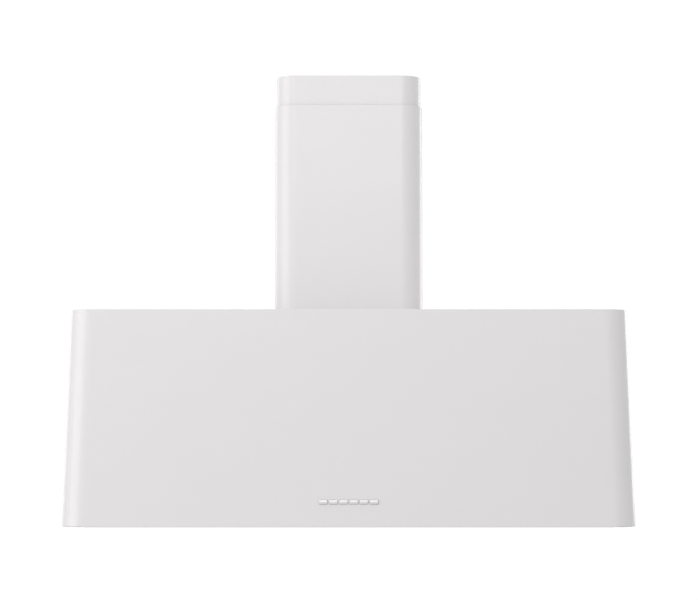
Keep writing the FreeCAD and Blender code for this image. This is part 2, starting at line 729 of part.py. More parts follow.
def outlet_seal():
    """Foam ring between the blower's mouth and the canopy's top plate."""
    z0, z1 = BLOWER_FLANGE_Z, TOP_UNDER_Z
    return tube(COLLAR_R + 12, COLLAR_R - COLLAR_WALL, (0, 0, z0), (0, 0, z1))


def rubber_mounts():
    """Rubber washers that keep the blower's shake off the canopy."""
    z0, z1 = BLOWER_FLANGE_Z, TOP_UNDER_Z
    return [tube(8, BLOWER_SCREW_R + SEAT, (x, y, z0), (x, y, z1)) for x, y in blower_screw_places()]


def blower_screws():
    """Screws and nuts that hang the blower from the canopy's top plate."""
    grip = TOP_PLATE + RUBBER_HEIGHT + HOUSING_WALL
    pieces = []
    for x, y in blower_screw_places():
        seat = Vector(x, y, CANOPY_TOP_Z)
        pieces.append(screw(seat, (0, 0, -1), BLOWER_SCREW_R, grip + 6, 4.5, 3))
        under = seat - Vector(0, 0, grip)
        pieces.append(hexagon_nut(under, (0, 0, -1), BLOWER_SCREW_R + THREAD_GAP, CLAMP_NUT_WIDTH, CLAMP_NUT))
    return pieces


MOTOR_X1 = -20.0
MOTOR_X0 = MOTOR_X1 - MOTOR_LENGTH
BRACKET_X = -HOUSING_HALF_WIDTH - HOUSING_WALL
BRACKET_SHEET = 3.0
BRACKET_BAND = 5.0


def motor_body():
    """Motor can, with cooling grooves and a bored nose for the shaft."""
    can = rod(MOTOR_R, (MOTOR_X0, AXIS_Y, AXIS_Z), (MOTOR_X1 - 6, AXIS_Y, AXIS_Z))
    nose = rod(14, (MOTOR_X1 - 6, AXIS_Y, AXIS_Z), (MOTOR_X1, AXIS_Y, AXIS_Z))
    motor = fuse([can, nose])
    bore = rod(SHAFT_R + SHAFT_CLEARANCE, (MOTOR_X0 + 10, AXIS_Y, AXIS_Z), (MOTOR_X1 + 1, AXIS_Y, AXIS_Z))
    motor = motor.cut(bore)
    for step in range(4):
        x = MOTOR_X0 + 8 + step * 6
        motor = motor.cut(tube(MOTOR_R + 1, MOTOR_R - 2, (x, AXIS_Y, AXIS_Z), (x + 3, AXIS_Y, AXIS_Z)))
    return motor


def motor_bracket():
    """Three-armed spider on the left inlet, with the band that grips the motor."""
    x0, x1 = BRACKET_X - BRACKET_SHEET, BRACKET_X
    centre0, centre1 = (x0, AXIS_Y, AXIS_Z), (x1, AXIS_Y, AXIS_Z)
    lip_r = INLET_R + HOUSING_WALL
    rim = tube(lip_r + 12, lip_r + SEAT, centre0, centre1)
    hub_x1 = x0 - INLET_LIP
    hub_x0 = hub_x1 - BRACKET_SHEET
    band_r = MOTOR_R + BRACKET_BAND
    band = tube(band_r, MOTOR_R + SEAT, (hub_x0, AXIS_Y, AXIS_Z), (hub_x1, AXIS_Y, AXIS_Z))
    pieces = [rim, band]
    for count in range(3):
        arm = box(hub_x0, hub_x1, -6, 6, band_r - BRACKET_BAND / 2, lip_r + 12)
        foot = box(hub_x0, x1, -6, 6, lip_r + 6, lip_r + 12)
        both = fuse([arm, foot])
        turn = FreeCAD.Rotation(Vector(1, 0, 0), 30 + 120 * count)
        both.Placement = FreeCAD.Placement(Vector(0, AXIS_Y, AXIS_Z), turn)
        pieces.append(both)
    return fuse(pieces).cut(tube(lip_r + SEAT, band_r, centre0, centre1))


def motor_shaft():
    """Steel shaft from inside the motor through the impeller's hub."""
    return rod(SHAFT_R, (MOTOR_X0 + 12, AXIS_Y, AXIS_Z), (16, AXIS_Y, AXIS_Z))


def impeller():
    """Hub with the middle disc, and the two end rings that the blades are riveted to."""
    axis = (AXIS_Y, AXIS_Z)
    hub = rod(HUB_R, (-6, *axis), (8, *axis))
    disc = rod(IMPELLER_R, (-IMPELLER_SHEET / 2, *axis), (IMPELLER_SHEET / 2, *axis))
    pieces = [fuse([hub, disc]).cut(rod(SHAFT_R + THREAD_GAP, (-10, *axis), (12, *axis)))]
    for side in (-1, 1):
        end = side * IMPELLER_HALF_WIDTH
        start = end - side * IMPELLER_SHEET
        pieces.append(tube(IMPELLER_R, IMPELLER_R - RING_DEPTH, (start, *axis), (end, *axis)))
    return pieces


def impeller_blades():
    """Blades of the double-width impeller, each from the middle disc to an end ring."""
    low, high = IMPELLER_R - BLADE_DEPTH, IMPELLER_R - BLADE_RIM
    near, far = IMPELLER_SHEET / 2, IMPELLER_HALF_WIDTH - IMPELLER_SHEET
    half = BLADE_SHEET / 2
    blades = []
    for count in range(BLADE_COUNT):
        turn = FreeCAD.Rotation(Vector(1, 0, 0), 360.0 * count / BLADE_COUNT)
        for side in (-1, 1):
            blade = box(side * near, side * far, -half, half, low, high)
            blade.Placement = FreeCAD.Placement(Vector(0, AXIS_Y, AXIS_Z), turn)
            blades.append(blade)
    return blades


# ---------------------------------------------------------------------------------------------------------
# Underside: panel, lamps
# ---------------------------------------------------------------------------------------------------------


def lamp_places():
    """Centres of the four lamps."""
    y = CANOPY_DEPTH / 2 - LAMP_MARGIN
    return [(sx * LAMP_X, sy * y) for sx, sy in CORNERS]


def filter_centres():
    """X of each filter bay's middle."""
    return [(index - (FILTER_COUNT - 1) / 2) * FILTER_PITCH for index in range(FILTER_COUNT)]


PAN_SCREW_R = 2.0
PAN_SCREW_INSET = 26.0


def pan_screw_places():
    """Screws round the underside panel, with the way from each to the wall beside it."""
    half_x, half_y = CANOPY_WIDTH / 2 - PAN_SCREW_INSET, CANOPY_DEPTH / 2 - PAN_SCREW_INSET
    places = []
    for side in (-1, 1):
        places += [(x * FILTER_PITCH / 2, side * half_y, 0, side) for x in (-1, 1)]
        places += [(side * half_x, y * CANOPY_DEPTH / 4, side, 0) for y in (-1, 1)]
    return places


def bottom_pan():
    """Underside panel with a turned-down edge, three filter bays and four lamp holes."""
    half_x, half_y = (half - SKIN - CLEARANCE for half in canopy_half(PAN_TOP_Z))
    radius = CANOPY_CORNER_R - SKIN - CLEARANCE
    low = RIM_Z + CORNER_RELIEF - SKIN
    pan = rounded_prism(half_x, half_y, radius, low, PAN_TOP_Z)
    pan = pan.cut(rounded_prism(half_x - PAN, half_y - PAN, radius - PAN, low, PAN_Z))
    seat = RIM_Z + SKIN
    flat_x = CANOPY_WIDTH / 2 - CANOPY_CORNER_R + 2
    flat_y = CANOPY_DEPTH / 2 - CANOPY_CORNER_R + 2
    pan = pan.cut(box(-flat_x, flat_x, -CANOPY_DEPTH, CANOPY_DEPTH, low, seat))
    pan = pan.cut(box(-CANOPY_WIDTH, CANOPY_WIDTH, -flat_y, flat_y, low, seat))
    bay_x, bay_y = FILTER_BAY_WIDTH / 2, FILTER_BAY_DEPTH / 2
    for x in filter_centres():
        pan = pan.cut(box(x - bay_x, x + bay_x, -bay_y, bay_y, PAN_Z - 1, PAN_TOP_Z + 1))
    holes = [(x, y, LAMP_R + 0.5) for x, y in lamp_places()]
    holes += [(x, y, PAN_SCREW_R + SEAT) for x, y, _, _ in pan_screw_places()]
    for x, y, hole_r in holes:
        pan = pan.cut(rod(hole_r, (x, y, PAN_Z - 1), (x, y, PAN_TOP_Z + 1)))
    return pan


PAN_BRACKET = 1.5


def pan_brackets():
    """Angle brackets welded inside the walls, which the panel is screwed to."""
    z0, z1 = PAN_TOP_Z, PAN_TOP_Z + PAN_BRACKET
    wall_x, wall_y = (half - SKIN - SEAT for half in canopy_half(PAN_TOP_Z + 20))
    brackets = []
    for x, y, out_x, out_y in pan_screw_places():
        if out_x:
            edge = out_x * wall_x
            shelf = box(x - out_x * 8, edge, y - 12, y + 12, z0, z1)
            upright = box(edge - out_x * PAN_BRACKET, edge, y - 12, y + 12, z0, z0 + 20)
        else:
            edge = out_y * wall_y
            shelf = box(x - 12, x + 12, y - out_y * 8, edge, z0, z1)
            upright = box(x - 12, x + 12, edge - out_y * PAN_BRACKET, edge, z0, z0 + 20)
        hole = rod(PAN_SCREW_R + THREAD_GAP, (x, y, z0 - 1), (x, y, z1 + 1))
        brackets.append(fuse([shelf, upright]).cut(hole))
    return brackets


def pan_screws():
    """Screws of the underside panel."""
    length = PAN + PAN_BRACKET + 3
    return [screw((x, y, PAN_Z), (0, 0, 1), PAN_SCREW_R, length, 4, 1.8) for x, y, _, _ in pan_screw_places()]


def lamp_ring(x, y):
    """Lamp bezel: a flange under the panel and a sleeve through it."""
    low = PAN_Z - LAMP_FLANGE
    flange = rod(LAMP_FLANGE_R, (x, y, low), (x, y, PAN_Z))
    sleeve = rod(LAMP_R, (x, y, PAN_Z), (x, y, PAN_Z + LAMP_SLEEVE))
    bore = rod(LAMP_R - 1.4, (x, y, PAN_Z - 0.6), (x, y, PAN_Z + LAMP_SLEEVE + 1))
    window = rod(LAMP_WINDOW_R, (x, y, low - 1), (x, y, PAN_Z))
    return fuse([flange, sleeve]).cut(bore).cut(window)


LENS_Z = PAN_Z - 0.6
LAMP_INNER_R = LAMP_R - 1.4 - CLEARANCE


def lamp_lens(x, y):
    """Frosted lens on the bezel's inner ledge."""
    return rod(LAMP_INNER_R, (x, y, LENS_Z), (x, y, LENS_Z + LENS))


def lamp_module(x, y):
    """Light unit with a finned heat sink."""
    low = LENS_Z + LENS
    stem = rod(LAMP_INNER_R - 4, (x, y, low), (x, y, low + LAMP_MODULE))
    fins = [rod(LAMP_INNER_R, (x, y, low + z), (x, y, low + z + 2)) for z in (0, 8, 12, 16, 20)]
    return fuse([stem] + fins)


def lamp_clips(x, y):
    """Two spring strips that hold a lamp up in its hole."""
    strips = []
    for side in (-1, 1):
        start, end = x + side * (LAMP_R + SEAT), x + side * (LAMP_R + 12)
        upright = box(start, start + side, y - 5, y + 5, PAN_TOP_Z, PAN_Z + LAMP_SLEEVE)
        foot = box(start, end, y - 5, y + 5, PAN_TOP_Z, PAN_TOP_Z + 0.8)
        strips.append(fuse([upright, foot]))
    return strips


# ---------------------------------------------------------------------------------------------------------
# Grease filters
# ---------------------------------------------------------------------------------------------------------

FILTER_HALF_X = FILTER_BAY_WIDTH / 2 - FILTER_SIDE_GAP
HINGE_Y = FILTER_BAY_DEPTH / 2 - FILTER_SIDE_GAP
FILTER_Y1 = HINGE_Y - FILTER_SIDE_GAP
FILTER_Y0 = -FILTER_BAY_DEPTH / 2 + FILTER_SIDE_GAP
FILTER_TOP_Z = PAN_Z + FILTER_HEIGHT
FLANGE_TOP_Z = PAN_Z + FILTER_SHEET
PULL_Y = FILTER_Y0 + PULL_INSET


def filter_frame(x):
    """Folded frame of one grease filter, with two rear tabs, a front strike lip and a finger pull."""
    left, right = x - FILTER_HALF_X, x + FILTER_HALF_X
    outside = box(left, right, FILTER_Y0, FILTER_Y1, PAN_Z, FILTER_TOP_Z)
    sheet = FILTER_SHEET
    front, rear = FILTER_Y0 + sheet, FILTER_Y1 - sheet
    hollow = box(left + sheet, right - sheet, front, rear, FLANGE_TOP_Z, FILTER_TOP_Z)
    window = box(
        left + FILTER_FRAME,
        right - FILTER_FRAME,
        FILTER_Y0 + FILTER_FRONT_FRAME,
        FILTER_Y1 - FILTER_FRAME,
        PAN_Z - 1,
        FILTER_TOP_Z,
    )
    pieces = [outside.cut(hollow).cut(window)]
    for side in (-1, 1):
        tab_x0 = x + side * TAB_SPREAD - TAB_WIDTH / 2
        tab_x1 = tab_x0 + TAB_WIDTH
        tab_z = PAN_TOP_Z + CLEARANCE
        tab_y = HINGE_Y + FILTER_SIDE_GAP + TAB_REACH
        pieces.append(box(tab_x0, tab_x1, FILTER_Y1 - sheet, tab_y, tab_z, tab_z + 1.2))
        pieces.append(rod(HINGE_BEAD_R, (tab_x0, HINGE_Y, PAN_TOP_Z), (tab_x1, HINGE_Y, PAN_TOP_Z)))
    half = PULL_WIDTH / 2
    lip_y = FILTER_Y0 + sheet + MAGNET_DEPTH
    pieces.append(box(x - half, x + half, FILTER_Y0, lip_y, FILTER_TOP_Z - sheet, FILTER_TOP_Z))
    pieces.append(box(x - half, x + half, PULL_Y, PULL_Y + sheet, PAN_Z - PULL_DROP, FLANGE_TOP_Z))
    curl_y, curl_z = PULL_Y + sheet, PAN_Z - PULL_DROP
    pieces.append(rod(sheet, (x - half, curl_y, curl_z), (x + half, curl_y, curl_z)))
    return fuse(pieces)


def filter_baffles(x):
    """Two layers of folded channels between end rails: the upper ones cover the gaps of the lower ones."""
    half_x = FILTER_HALF_X - FILTER_FRAME
    rail_x = half_x + BAFFLE_RAIL
    y0, y1 = FILTER_Y0 + FILTER_FRONT_FRAME, FILTER_Y1 - FILTER_FRAME
    low, high = FLANGE_TOP_Z, FILTER_TOP_Z - 0.5
    pieces = []
    for rail_y in (y0 - BAFFLE_RAIL, y1):
        pieces.append(box(x - rail_x, x + rail_x, rail_y, rail_y + BAFFLE_RAIL, low, high))
    pitch = 2 * half_x / BAFFLE_COUNT
    sheet, width = BAFFLE_SHEET, BAFFLE_WIDTH
    for index in range(BAFFLE_COUNT):
        left = x - half_x + (index + 0.5) * pitch - width / 2
        channel = box(left, left + width, y0, y1, low, low + BAFFLE_HEIGHT)
        pieces.append(channel.cut(box(left + sheet, left + width - sheet, y0, y1, low + sheet, high)))
    for index in range(BAFFLE_COUNT - 1):
        left = x - half_x + (index + 1) * pitch - width / 2
        channel = box(left, left + width, y0, y1, high - BAFFLE_HEIGHT, high)
        pieces.append(channel.cut(box(left + sheet, left + width - sheet, y0, y1, low, high - sheet)))
    return fuse(pieces)


def magnet_places():
    """Lower front edge of each magnet, over the middle of its filter's strike lip."""
    return [(x, FILTER_Y0 + FILTER_SHEET, FILTER_TOP_Z + CLEARANCE) for x in filter_centres()]


def filter_magnets():
    """Magnets that hold the filters' front edges up."""
    half = MAGNET_WIDTH / 2
    return [box(x - half, x + half, y, y + MAGNET_DEPTH, z, z + MAGNET_HEIGHT) for x, y, z in magnet_places()]


def magnet_brackets():
    """Folded brackets on the panel, which reach over the front edge of each bay to carry the magnets."""
    brackets = []
    half = MAGNET_WIDTH / 2 + 3
    edge = -FILTER_BAY_DEPTH / 2 - FILTER_SIDE_GAP
    for x, y, z in magnet_places():
        top = z + MAGNET_HEIGHT
        foot = box(x - half, x + half, edge - 18, edge, PAN_TOP_Z, PAN_TOP_Z + MAGNET_BRACKET)
        upright = box(x - half, x + half, edge - MAGNET_BRACKET, edge, PAN_TOP_Z, top + MAGNET_BRACKET)
        shelf = box(x - half, x + half, edge - MAGNET_BRACKET, y + MAGNET_DEPTH, top, top + MAGNET_BRACKET)
        brackets.append(fuse([foot, upright, shelf]))
    return brackets


# ---------------------------------------------------------------------------------------------------------
# Push buttons
# ---------------------------------------------------------------------------------------------------------

FLANGE_Y = SKIN + CLEARANCE
FLANGE_SHEET = 1.2
POCKET_END_Y = SKIN + 7
STEM_WALL_END_Y = POCKET_END_Y + 1.5
BOARD_Y = SKIN + GUIDE_DEPTH
STEM_END_Y = BOARD_Y - SWITCH_HEIGHT - BUTTON_TRAVEL - CLEARANCE


def push_button(x):
    """One push button: the cap outside, its hidden flange, and the stem that presses the switch."""
    half_x, half_z = BUTTON_WIDTH / 2, BUTTON_HEIGHT / 2
    cap = box(x - half_x, x + half_x, -BUTTON_PROUD, FLANGE_Y, -half_z, half_z)
    rim = [edge for edge in cap.Edges if abs(edge.CenterOfMass.y + BUTTON_PROUD) < 1e-6]
    cap = cap.makeFillet(0.5, rim)
    wide, tall = half_x + BUTTON_FLANGE, half_z + 1.5
    flange = box(x - wide, x + wide, FLANGE_Y, FLANGE_Y + FLANGE_SHEET, -tall, tall)
    half = BUTTON_STEM / 2
    stem = box(x - half, x + half, FLANGE_Y, STEM_END_Y, -half, half)
    button = fuse([cap, flange, stem])
    button.Placement = button_frame()
    return button


def button_guide():
    """Moulded block behind the front wall that guides the buttons and carries the switch board."""
    half_x = (BUTTON_COUNT - 1) / 2 * BUTTON_PITCH + GUIDE_MARGIN
    half_z = GUIDE_HEIGHT / 2
    guide = box(-half_x, half_x, SKIN, BOARD_Y, -half_z, half_z)
    guide = guide.cut(box(3 - half_x, half_x - 3, STEM_WALL_END_Y, BOARD_Y, 3 - half_z, half_z - 3))
    pocket_x = BUTTON_WIDTH / 2 + BUTTON_FLANGE + CLEARANCE
    pocket_z = BUTTON_HEIGHT / 2 + 1.5 + CLEARANCE
    stem = BUTTON_STEM / 2 + CLEARANCE
    for x in button_centres():
        guide = guide.cut(box(x - pocket_x, x + pocket_x, SKIN, POCKET_END_Y, -pocket_z, pocket_z))
        guide = guide.cut(box(x - stem, x + stem, POCKET_END_Y, STEM_WALL_END_Y, -stem, stem))
    guide.Placement = button_frame()
    return guide


def switch_board():
    """Circuit board on the back of the guide."""
    half_x = (BUTTON_COUNT - 1) / 2 * BUTTON_PITCH + GUIDE_MARGIN
    board = box(-half_x, half_x, BOARD_Y, BOARD_Y + BOARD, -GUIDE_HEIGHT / 2, GUIDE_HEIGHT / 2)
    plug = box(-6, 6, BOARD_Y + BOARD, BOARD_Y + BOARD + 6, -4, 4)
    board = fuse([board, plug])
    board.Placement = button_frame()
    return board


def tact_switches():
    """One small switch behind each button's stem."""
    switches = []
    half = SWITCH_SIZE / 2
    for x in button_centres():
        switch = box(x - half, x + half, BOARD_Y - SWITCH_HEIGHT, BOARD_Y, -half, half)
        switch.Placement = button_frame()
        switches.append(switch)
    return switches


# ---------------------------------------------------------------------------------------------------------
# Electronics and cables
# ---------------------------------------------------------------------------------------------------------

BOX_LOW_Z = TOP_UNDER_Z - BOX_HEIGHT
BOARD_DROP = 12.0


CABLE_Z = TOP_UNDER_Z - BOARD_DROP - BOARD - CONNECTOR / 2
LAMP_CABLE_Y = 220.0
LAMP_ENTRY_X = BOX_X0 + 130
LAMP_ENTRY_PITCH = 30.0
CABLE_END_X = BOX_X1 - 8  # the ends of the cables that come in from the side
CABLE_END_Y = BOX_HALF_DEPTH - 8  # and from the front and rear


def lamp_cable_routes():
    """Route of each lamp's cable, from the top of its light unit to the power board."""
    routes = []
    top = LENS_Z + LENS + LAMP_MODULE
    for x, y in lamp_places():
        side = math.copysign(1, y)
        over_y = side * LAMP_CABLE_Y
        route = [(x, y, top), (x, y, top + 60)]
        end_x = LAMP_ENTRY_X
        if x > 0:
            end_x += LAMP_ENTRY_PITCH
            route.append((x, over_y, CABLE_Z))
        route.append((end_x, over_y, CABLE_Z))
        route.append((end_x, side * CABLE_END_Y, CABLE_Z))
        routes.append(route)
    return routes


def control_cable_route():
    """Route of the cable from the switch board to the power board."""
    frame = button_frame()
    start = frame.multVec(Vector(0, BOARD_Y + BOARD + 6, 0))
    inward = frame.multVec(Vector(0, BOARD_Y + BOARD + 44, 0))
    rise = Vector(0, inward.y, CABLE_Z - 43)
    round_blower = Vector(BOX_X1 + 80, -200, CABLE_Z - 33)
    entry = Vector(BOX_X1 + 40, -40, CABLE_Z)
    return [start, inward, rise, round_blower, entry, (CABLE_END_X, -40, CABLE_Z)]


def motor_cable_route():
    """Route of the cable from the motor's rear face to the power board."""
    low = AXIS_Z + 25
    return [
        (MOTOR_X0, AXIS_Y, low),
        (MOTOR_X0 - 44, AXIS_Y, low),
        (BOX_X1 + 45, -60, CABLE_Z - 63),
        (BOX_X1 + 40, 0, CABLE_Z),
        (CABLE_END_X, 0, CABLE_Z),
    ]


def cable_clips():
    """Blocks under the top plate that hold the long lamp cables."""
    clips = []
    for x in (BOX_X1 + 110, 30, 180):
        for y in (-LAMP_CABLE_Y, LAMP_CABLE_Y):
            block = box(x - 6, x + 6, y - 6, y + 6, CABLE_Z - CABLE_R - 2, TOP_UNDER_Z)
            clips.append(block.cut(rod(CABLE_R + SEAT, (x - 7, y, CABLE_Z), (x + 7, y, CABLE_Z))))
    return clips


def electronics_box():
    """Box fixed under the canopy's top plate, open below, with four posts for the power board."""
    depth = BOX_HALF_DEPTH
    wall = BOX_WALL
    case = box(BOX_X0, BOX_X1, -depth, depth, BOX_LOW_Z, TOP_UNDER_Z)
    inside = box(BOX_X0 + wall, BOX_X1 - wall, wall - depth, depth - wall, BOX_LOW_Z, TOP_UNDER_Z - wall)
    posts = []
    for x in (BOX_X0 + 12, BOX_X1 - 12):
        for y in (12 - depth, depth - 12):
            posts.append(rod(3, (x, y, TOP_UNDER_Z - BOARD_DROP), (x, y, TOP_UNDER_Z - wall)))
    case = fuse([case.cut(inside)] + posts)
    for route in lamp_cable_routes() + [control_cable_route(), motor_cable_route()]:
        end = Vector(route[-1])
        back = Vector(route[-2]) - end
        back.normalize()
        case = case.cut(rod(CABLE_R + CLEARANCE, end, end + back * 10))
    return case


def electronics_cover():
    """Lid that closes the box from below."""
    depth = BOX_HALF_DEPTH
    return box(BOX_X0, BOX_X1, -depth, depth, BOX_LOW_Z - BOX_WALL, BOX_LOW_Z)


def power_board():
    """Power board under the box's posts, with its transformer, relays and capacitor."""
    depth = BOX_HALF_DEPTH - 6
    x0, x1 = BOX_X0 + 6, BOX_X1 - 6
    z1 = TOP_UNDER_Z - BOARD_DROP
    z0 = z1 - BOARD
    pieces = [box(x0, x1, -depth, depth, z0, z1)]
    pieces.append(box(x0 + 12, x0 + 57, -depth + 10, -depth + 50, z0 - 28, z0))
    for index in range(4):
        relay_x = x0 + 75 + index * 24
        pieces.append(box(relay_x, relay_x + 14, -depth + 20, -depth + 32, z0 - 15, z0))
    pieces.append(rod(9, (x0 + 90, 20, z0 - 26), (x0 + 90, 20, z0)))
    half, deep = CONNECTOR / 2, CONNECTOR_DEPTH
    for route in lamp_cable_routes():
        x, y, _ = route[-1]
        pieces.append(box(x - half, x + half, y, y - math.copysign(deep, y), z0 - CONNECTOR, z0))
    for route in (control_cable_route(), motor_cable_route()):
        x, y, _ = route[-1]
        pieces.append(box(x - deep, x, y - half, y + half, z0 - CONNECTOR, z0))
    return fuse(pieces)


def terminal_block():
    """Screw terminals for the mains cable, on the power board."""
    z1 = TOP_UNDER_Z - BOARD_DROP - BOARD
    x0, y0 = BOX_X0 + 24, 35
    block = box(x0, x0 + 36, y0, y0 + 18, z1 - 14, z1)
    for index in range(3):
        x = x0 + 6 + index * 12
        block = block.cut(rod(3, (x, y0 + 9, z1 - 15), (x, y0 + 9, z1 - 6)))
    return block


# ---------------------------------------------------------------------------------------------------------
# Everything, by node
# ---------------------------------------------------------------------------------------------------------

FILTER_NAMES = ["left", "middle", "right"]


def nodes():
    """Every sub-part by its node's name. A list is a group of separate solids."""
    made = {
        "ceiling_plate": ceiling_plate(),
        "upper_angles": upper_angles(),
        "upper_tie_frame": upper_tie_frame(),
        "upper_chimney": upper_chimney(),
        "upper_chimney_screws": upper_chimney_screws(),
        "frame_clamp_screws": frame_clamp_screws(),
        "lower_angles": lower_angles(),
        "lower_tie_frame": lower_tie_frame(),
        "frame_base": frame_base(),
        "frame_base_screws": frame_base_screws(),
        "lower_chimney": lower_chimney(),
        "canopy_skin": canopy_skin(),
        "canopy_top_plate": canopy_top_plate(),
        "cable_grommet": cable_grommet(),
        "outlet_collar": outlet_collar(),
        "damper_pin": damper_pin_shape(0),
        "damper_flap_left": damper_flap(-1),
        "damper_flap_right": damper_flap(1),
        "blower_housing_left": housing_half(-1),
        "blower_housing_right": housing_half(1),
        "outlet_seal": outlet_seal(),
        "rubber_mounts": rubber_mounts(),
        "blower_screws": blower_screws(),
        "motor_body": motor_body(),
        "motor_bracket": motor_bracket(),
        "motor_shaft": motor_shaft(),
        "impeller": impeller(),
        "impeller_blades": impeller_blades(),
        "bottom_pan": bottom_pan(),
        "pan_brackets": pan_brackets(),
        "pan_screws": pan_screws(),
        "button_guide": button_guide(),
        "switch_board": switch_board(),
        "tact_switches": tact_switches(),
        "electronics_box": electronics_box(),
        "electronics_cover": electronics_cover(),
        "power_board": power_board(),
        "terminal_block": terminal_block(),
        "motor_cable": cable(motor_cable_route(), CABLE_R),
        "control_cable": cable(control_cable_route(), CABLE_R),
        "lamp_cables": [cable(route, CABLE_R) for route in lamp_cable_routes()],
        "cable_clips": cable_clips(),
        "filter_magnets": filter_magnets(),
        "magnet_brackets": magnet_brackets(),
    }
    made["lamp_rings"] = [lamp_ring(x, y) for x, y in lamp_places()]
    made["lamp_lenses"] = [lamp_lens(x, y) for x, y in lamp_places()]
    made["lamp_modules"] = [lamp_module(x, y) for x, y in lamp_places()]
    made["lamp_clips"] = [strip for x, y in lamp_places() for strip in lamp_clips(x, y)]
    for x, name in zip(filter_centres(), FILTER_NAMES):
        made[f"filter_frame_{name}"] = filter_frame(x)
        made[f"filter_baffles_{name}"] = filter_baffles(x)
    for index, x in enumerate(button_centres(), start=1):
        made[f"button_{index}"] = push_button(x)
    return made


def main():
    """Write each node to its own STEP file."""
    os.makedirs("parts", exist_ok=True)
    for name, shape in nodes().items():
        solids = shape if isinstance(shape, list) else [shape]
        solids = [solid for piece in solids for solid in piece.Solids]
        whole = solids[0] if len(solids) == 1 else Part.makeCompound(solids)
        whole.exportStep(f"parts/{name}.step")
        state = "valid" if all(solid.isValid() for solid in solids) else "INVALID"
        print(f"{name:24s} {len(solids):3d} solids {whole.Volume / 1000:9.1f} cm3 {state}")


main()
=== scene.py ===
"""Island range hood: finished shapes, finishes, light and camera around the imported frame.

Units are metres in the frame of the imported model: +Z is up, the control side faces -Y, and the origin is the
middle of the ceiling plate's top face. Each new piece is a closed surface computed as whole arrays: a grid of
points over two parameters, or a profile carried along a path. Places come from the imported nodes' boxes.
"""

import json
import logging
import math
from dataclasses import dataclass, field
from enum import Enum
from typing import ClassVar, Iterable, Sequence

import bmesh
import bpy
import numpy as np
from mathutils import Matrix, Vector


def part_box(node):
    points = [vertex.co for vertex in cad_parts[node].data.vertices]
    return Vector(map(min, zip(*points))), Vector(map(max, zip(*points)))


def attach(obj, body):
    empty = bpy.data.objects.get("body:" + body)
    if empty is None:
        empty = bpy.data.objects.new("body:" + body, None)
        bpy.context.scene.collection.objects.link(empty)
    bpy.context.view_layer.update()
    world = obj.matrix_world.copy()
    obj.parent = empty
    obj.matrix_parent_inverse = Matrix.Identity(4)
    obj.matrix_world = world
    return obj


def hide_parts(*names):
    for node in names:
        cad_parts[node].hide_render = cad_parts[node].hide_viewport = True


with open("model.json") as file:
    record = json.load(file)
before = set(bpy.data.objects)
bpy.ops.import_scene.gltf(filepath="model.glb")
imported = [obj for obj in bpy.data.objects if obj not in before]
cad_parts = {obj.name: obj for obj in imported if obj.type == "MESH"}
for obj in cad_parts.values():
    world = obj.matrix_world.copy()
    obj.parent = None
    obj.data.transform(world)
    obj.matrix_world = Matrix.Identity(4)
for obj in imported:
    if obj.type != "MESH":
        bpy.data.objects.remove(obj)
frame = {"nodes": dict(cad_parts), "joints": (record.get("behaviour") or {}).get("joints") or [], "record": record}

Points = np.ndarray
Socket = bpy.types.NodeSocket
Node = bpy.types.Node
Value = float | Sequence[float] | Socket

log = logging.getLogger("hood")

MM = 0.001
WELD = 2e-6  # points nearer than this are one point
SMOOTH_UP_TO = math.radians(34)
RIGHT = np.array([1.0, 0.0, 0.0])
UP, DOWN = (0, 0, 1), (0, 0, -1)
CORNERS = ((-1, -1), (-1, 1), (1, -1), (1, 1))  # the signs of X and Y at four corners
BAYS = ("left", "middle", "right")
HALVES = ((-1, "left"), (1, "right"))
HEAD = 4.5 * MM  # radius of a larger screw's head


# --- Frame ---


@dataclass(frozen=True)
class Box:
    """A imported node's box, with its corners as arrays."""

    low: Points
    high: Points

    @classmethod
    def of(cls, node: str) -> "Box":
        """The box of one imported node."""
        low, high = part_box(node)
        return cls(np.array(low, float), np.array(high, float))

    @property
    def middle(self) -> Points:
        """The box's centre."""
        return (self.low + self.high) / 2

    @property
    def size(self) -> Points:
        """The box's three sides."""
        return self.high - self.low


def body_of(node: str) -> str:
    """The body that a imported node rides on."""
    return next(body for body, members in frame["record"]["behaviour"]["bodies"].items() if node in members)


def slot_of(node: str) -> str:
    """The record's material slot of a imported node."""
    return next(part["material_slot"] for part in frame["record"]["subparts"] if part["node"] == node)


# --- Curves: outlines as whole arrays ---


def arc(centre: Sequence[float], radius: float, start: float, end: float, steps: int) -> Points:
    """Points on a circle in a plane: centre plus radius times (cos, sin).

    Args:
        centre: the circle's middle.
        radius: its radius.
        start, end: first and last angle in degrees.
        steps: number of equal turns.

    Returns:
        An array of steps + 1 points.
    """
    turn = np.radians(np.linspace(start, end, steps + 1))
    return np.asarray(centre, float) + radius * np.column_stack([np.cos(turn), np.sin(turn)])


def full_turn(steps: int) -> Points:
    """Angles of a whole circle in radians, up to but without the first one again."""
    return np.linspace(0, 2 * math.pi, steps, endpoint=False)


def around(radius: Points | float, angle: Points, height: Points | float) -> Points:
    """Points about the Z axis: radius * cos, radius * sin and height."""
    return np.stack(np.broadcast_arrays(radius * np.cos(angle), radius * np.sin(angle), height), axis=-1)


def lifted(plan: Points, z: Points | float) -> Points:
    """A plan's points at one height, or each at its own."""
    return np.column_stack([plan, np.broadcast_to(z, len(plan))])


def at_x(section: Points, x: float) -> Points:
    """A section in Y and Z, at one X."""
    return np.column_stack([np.full(len(section), x), section])


def joined(*parts: Sequence[Sequence[float]]) -> Points:
    """Stretches of one outline, end to end."""
    return np.concatenate(parts)


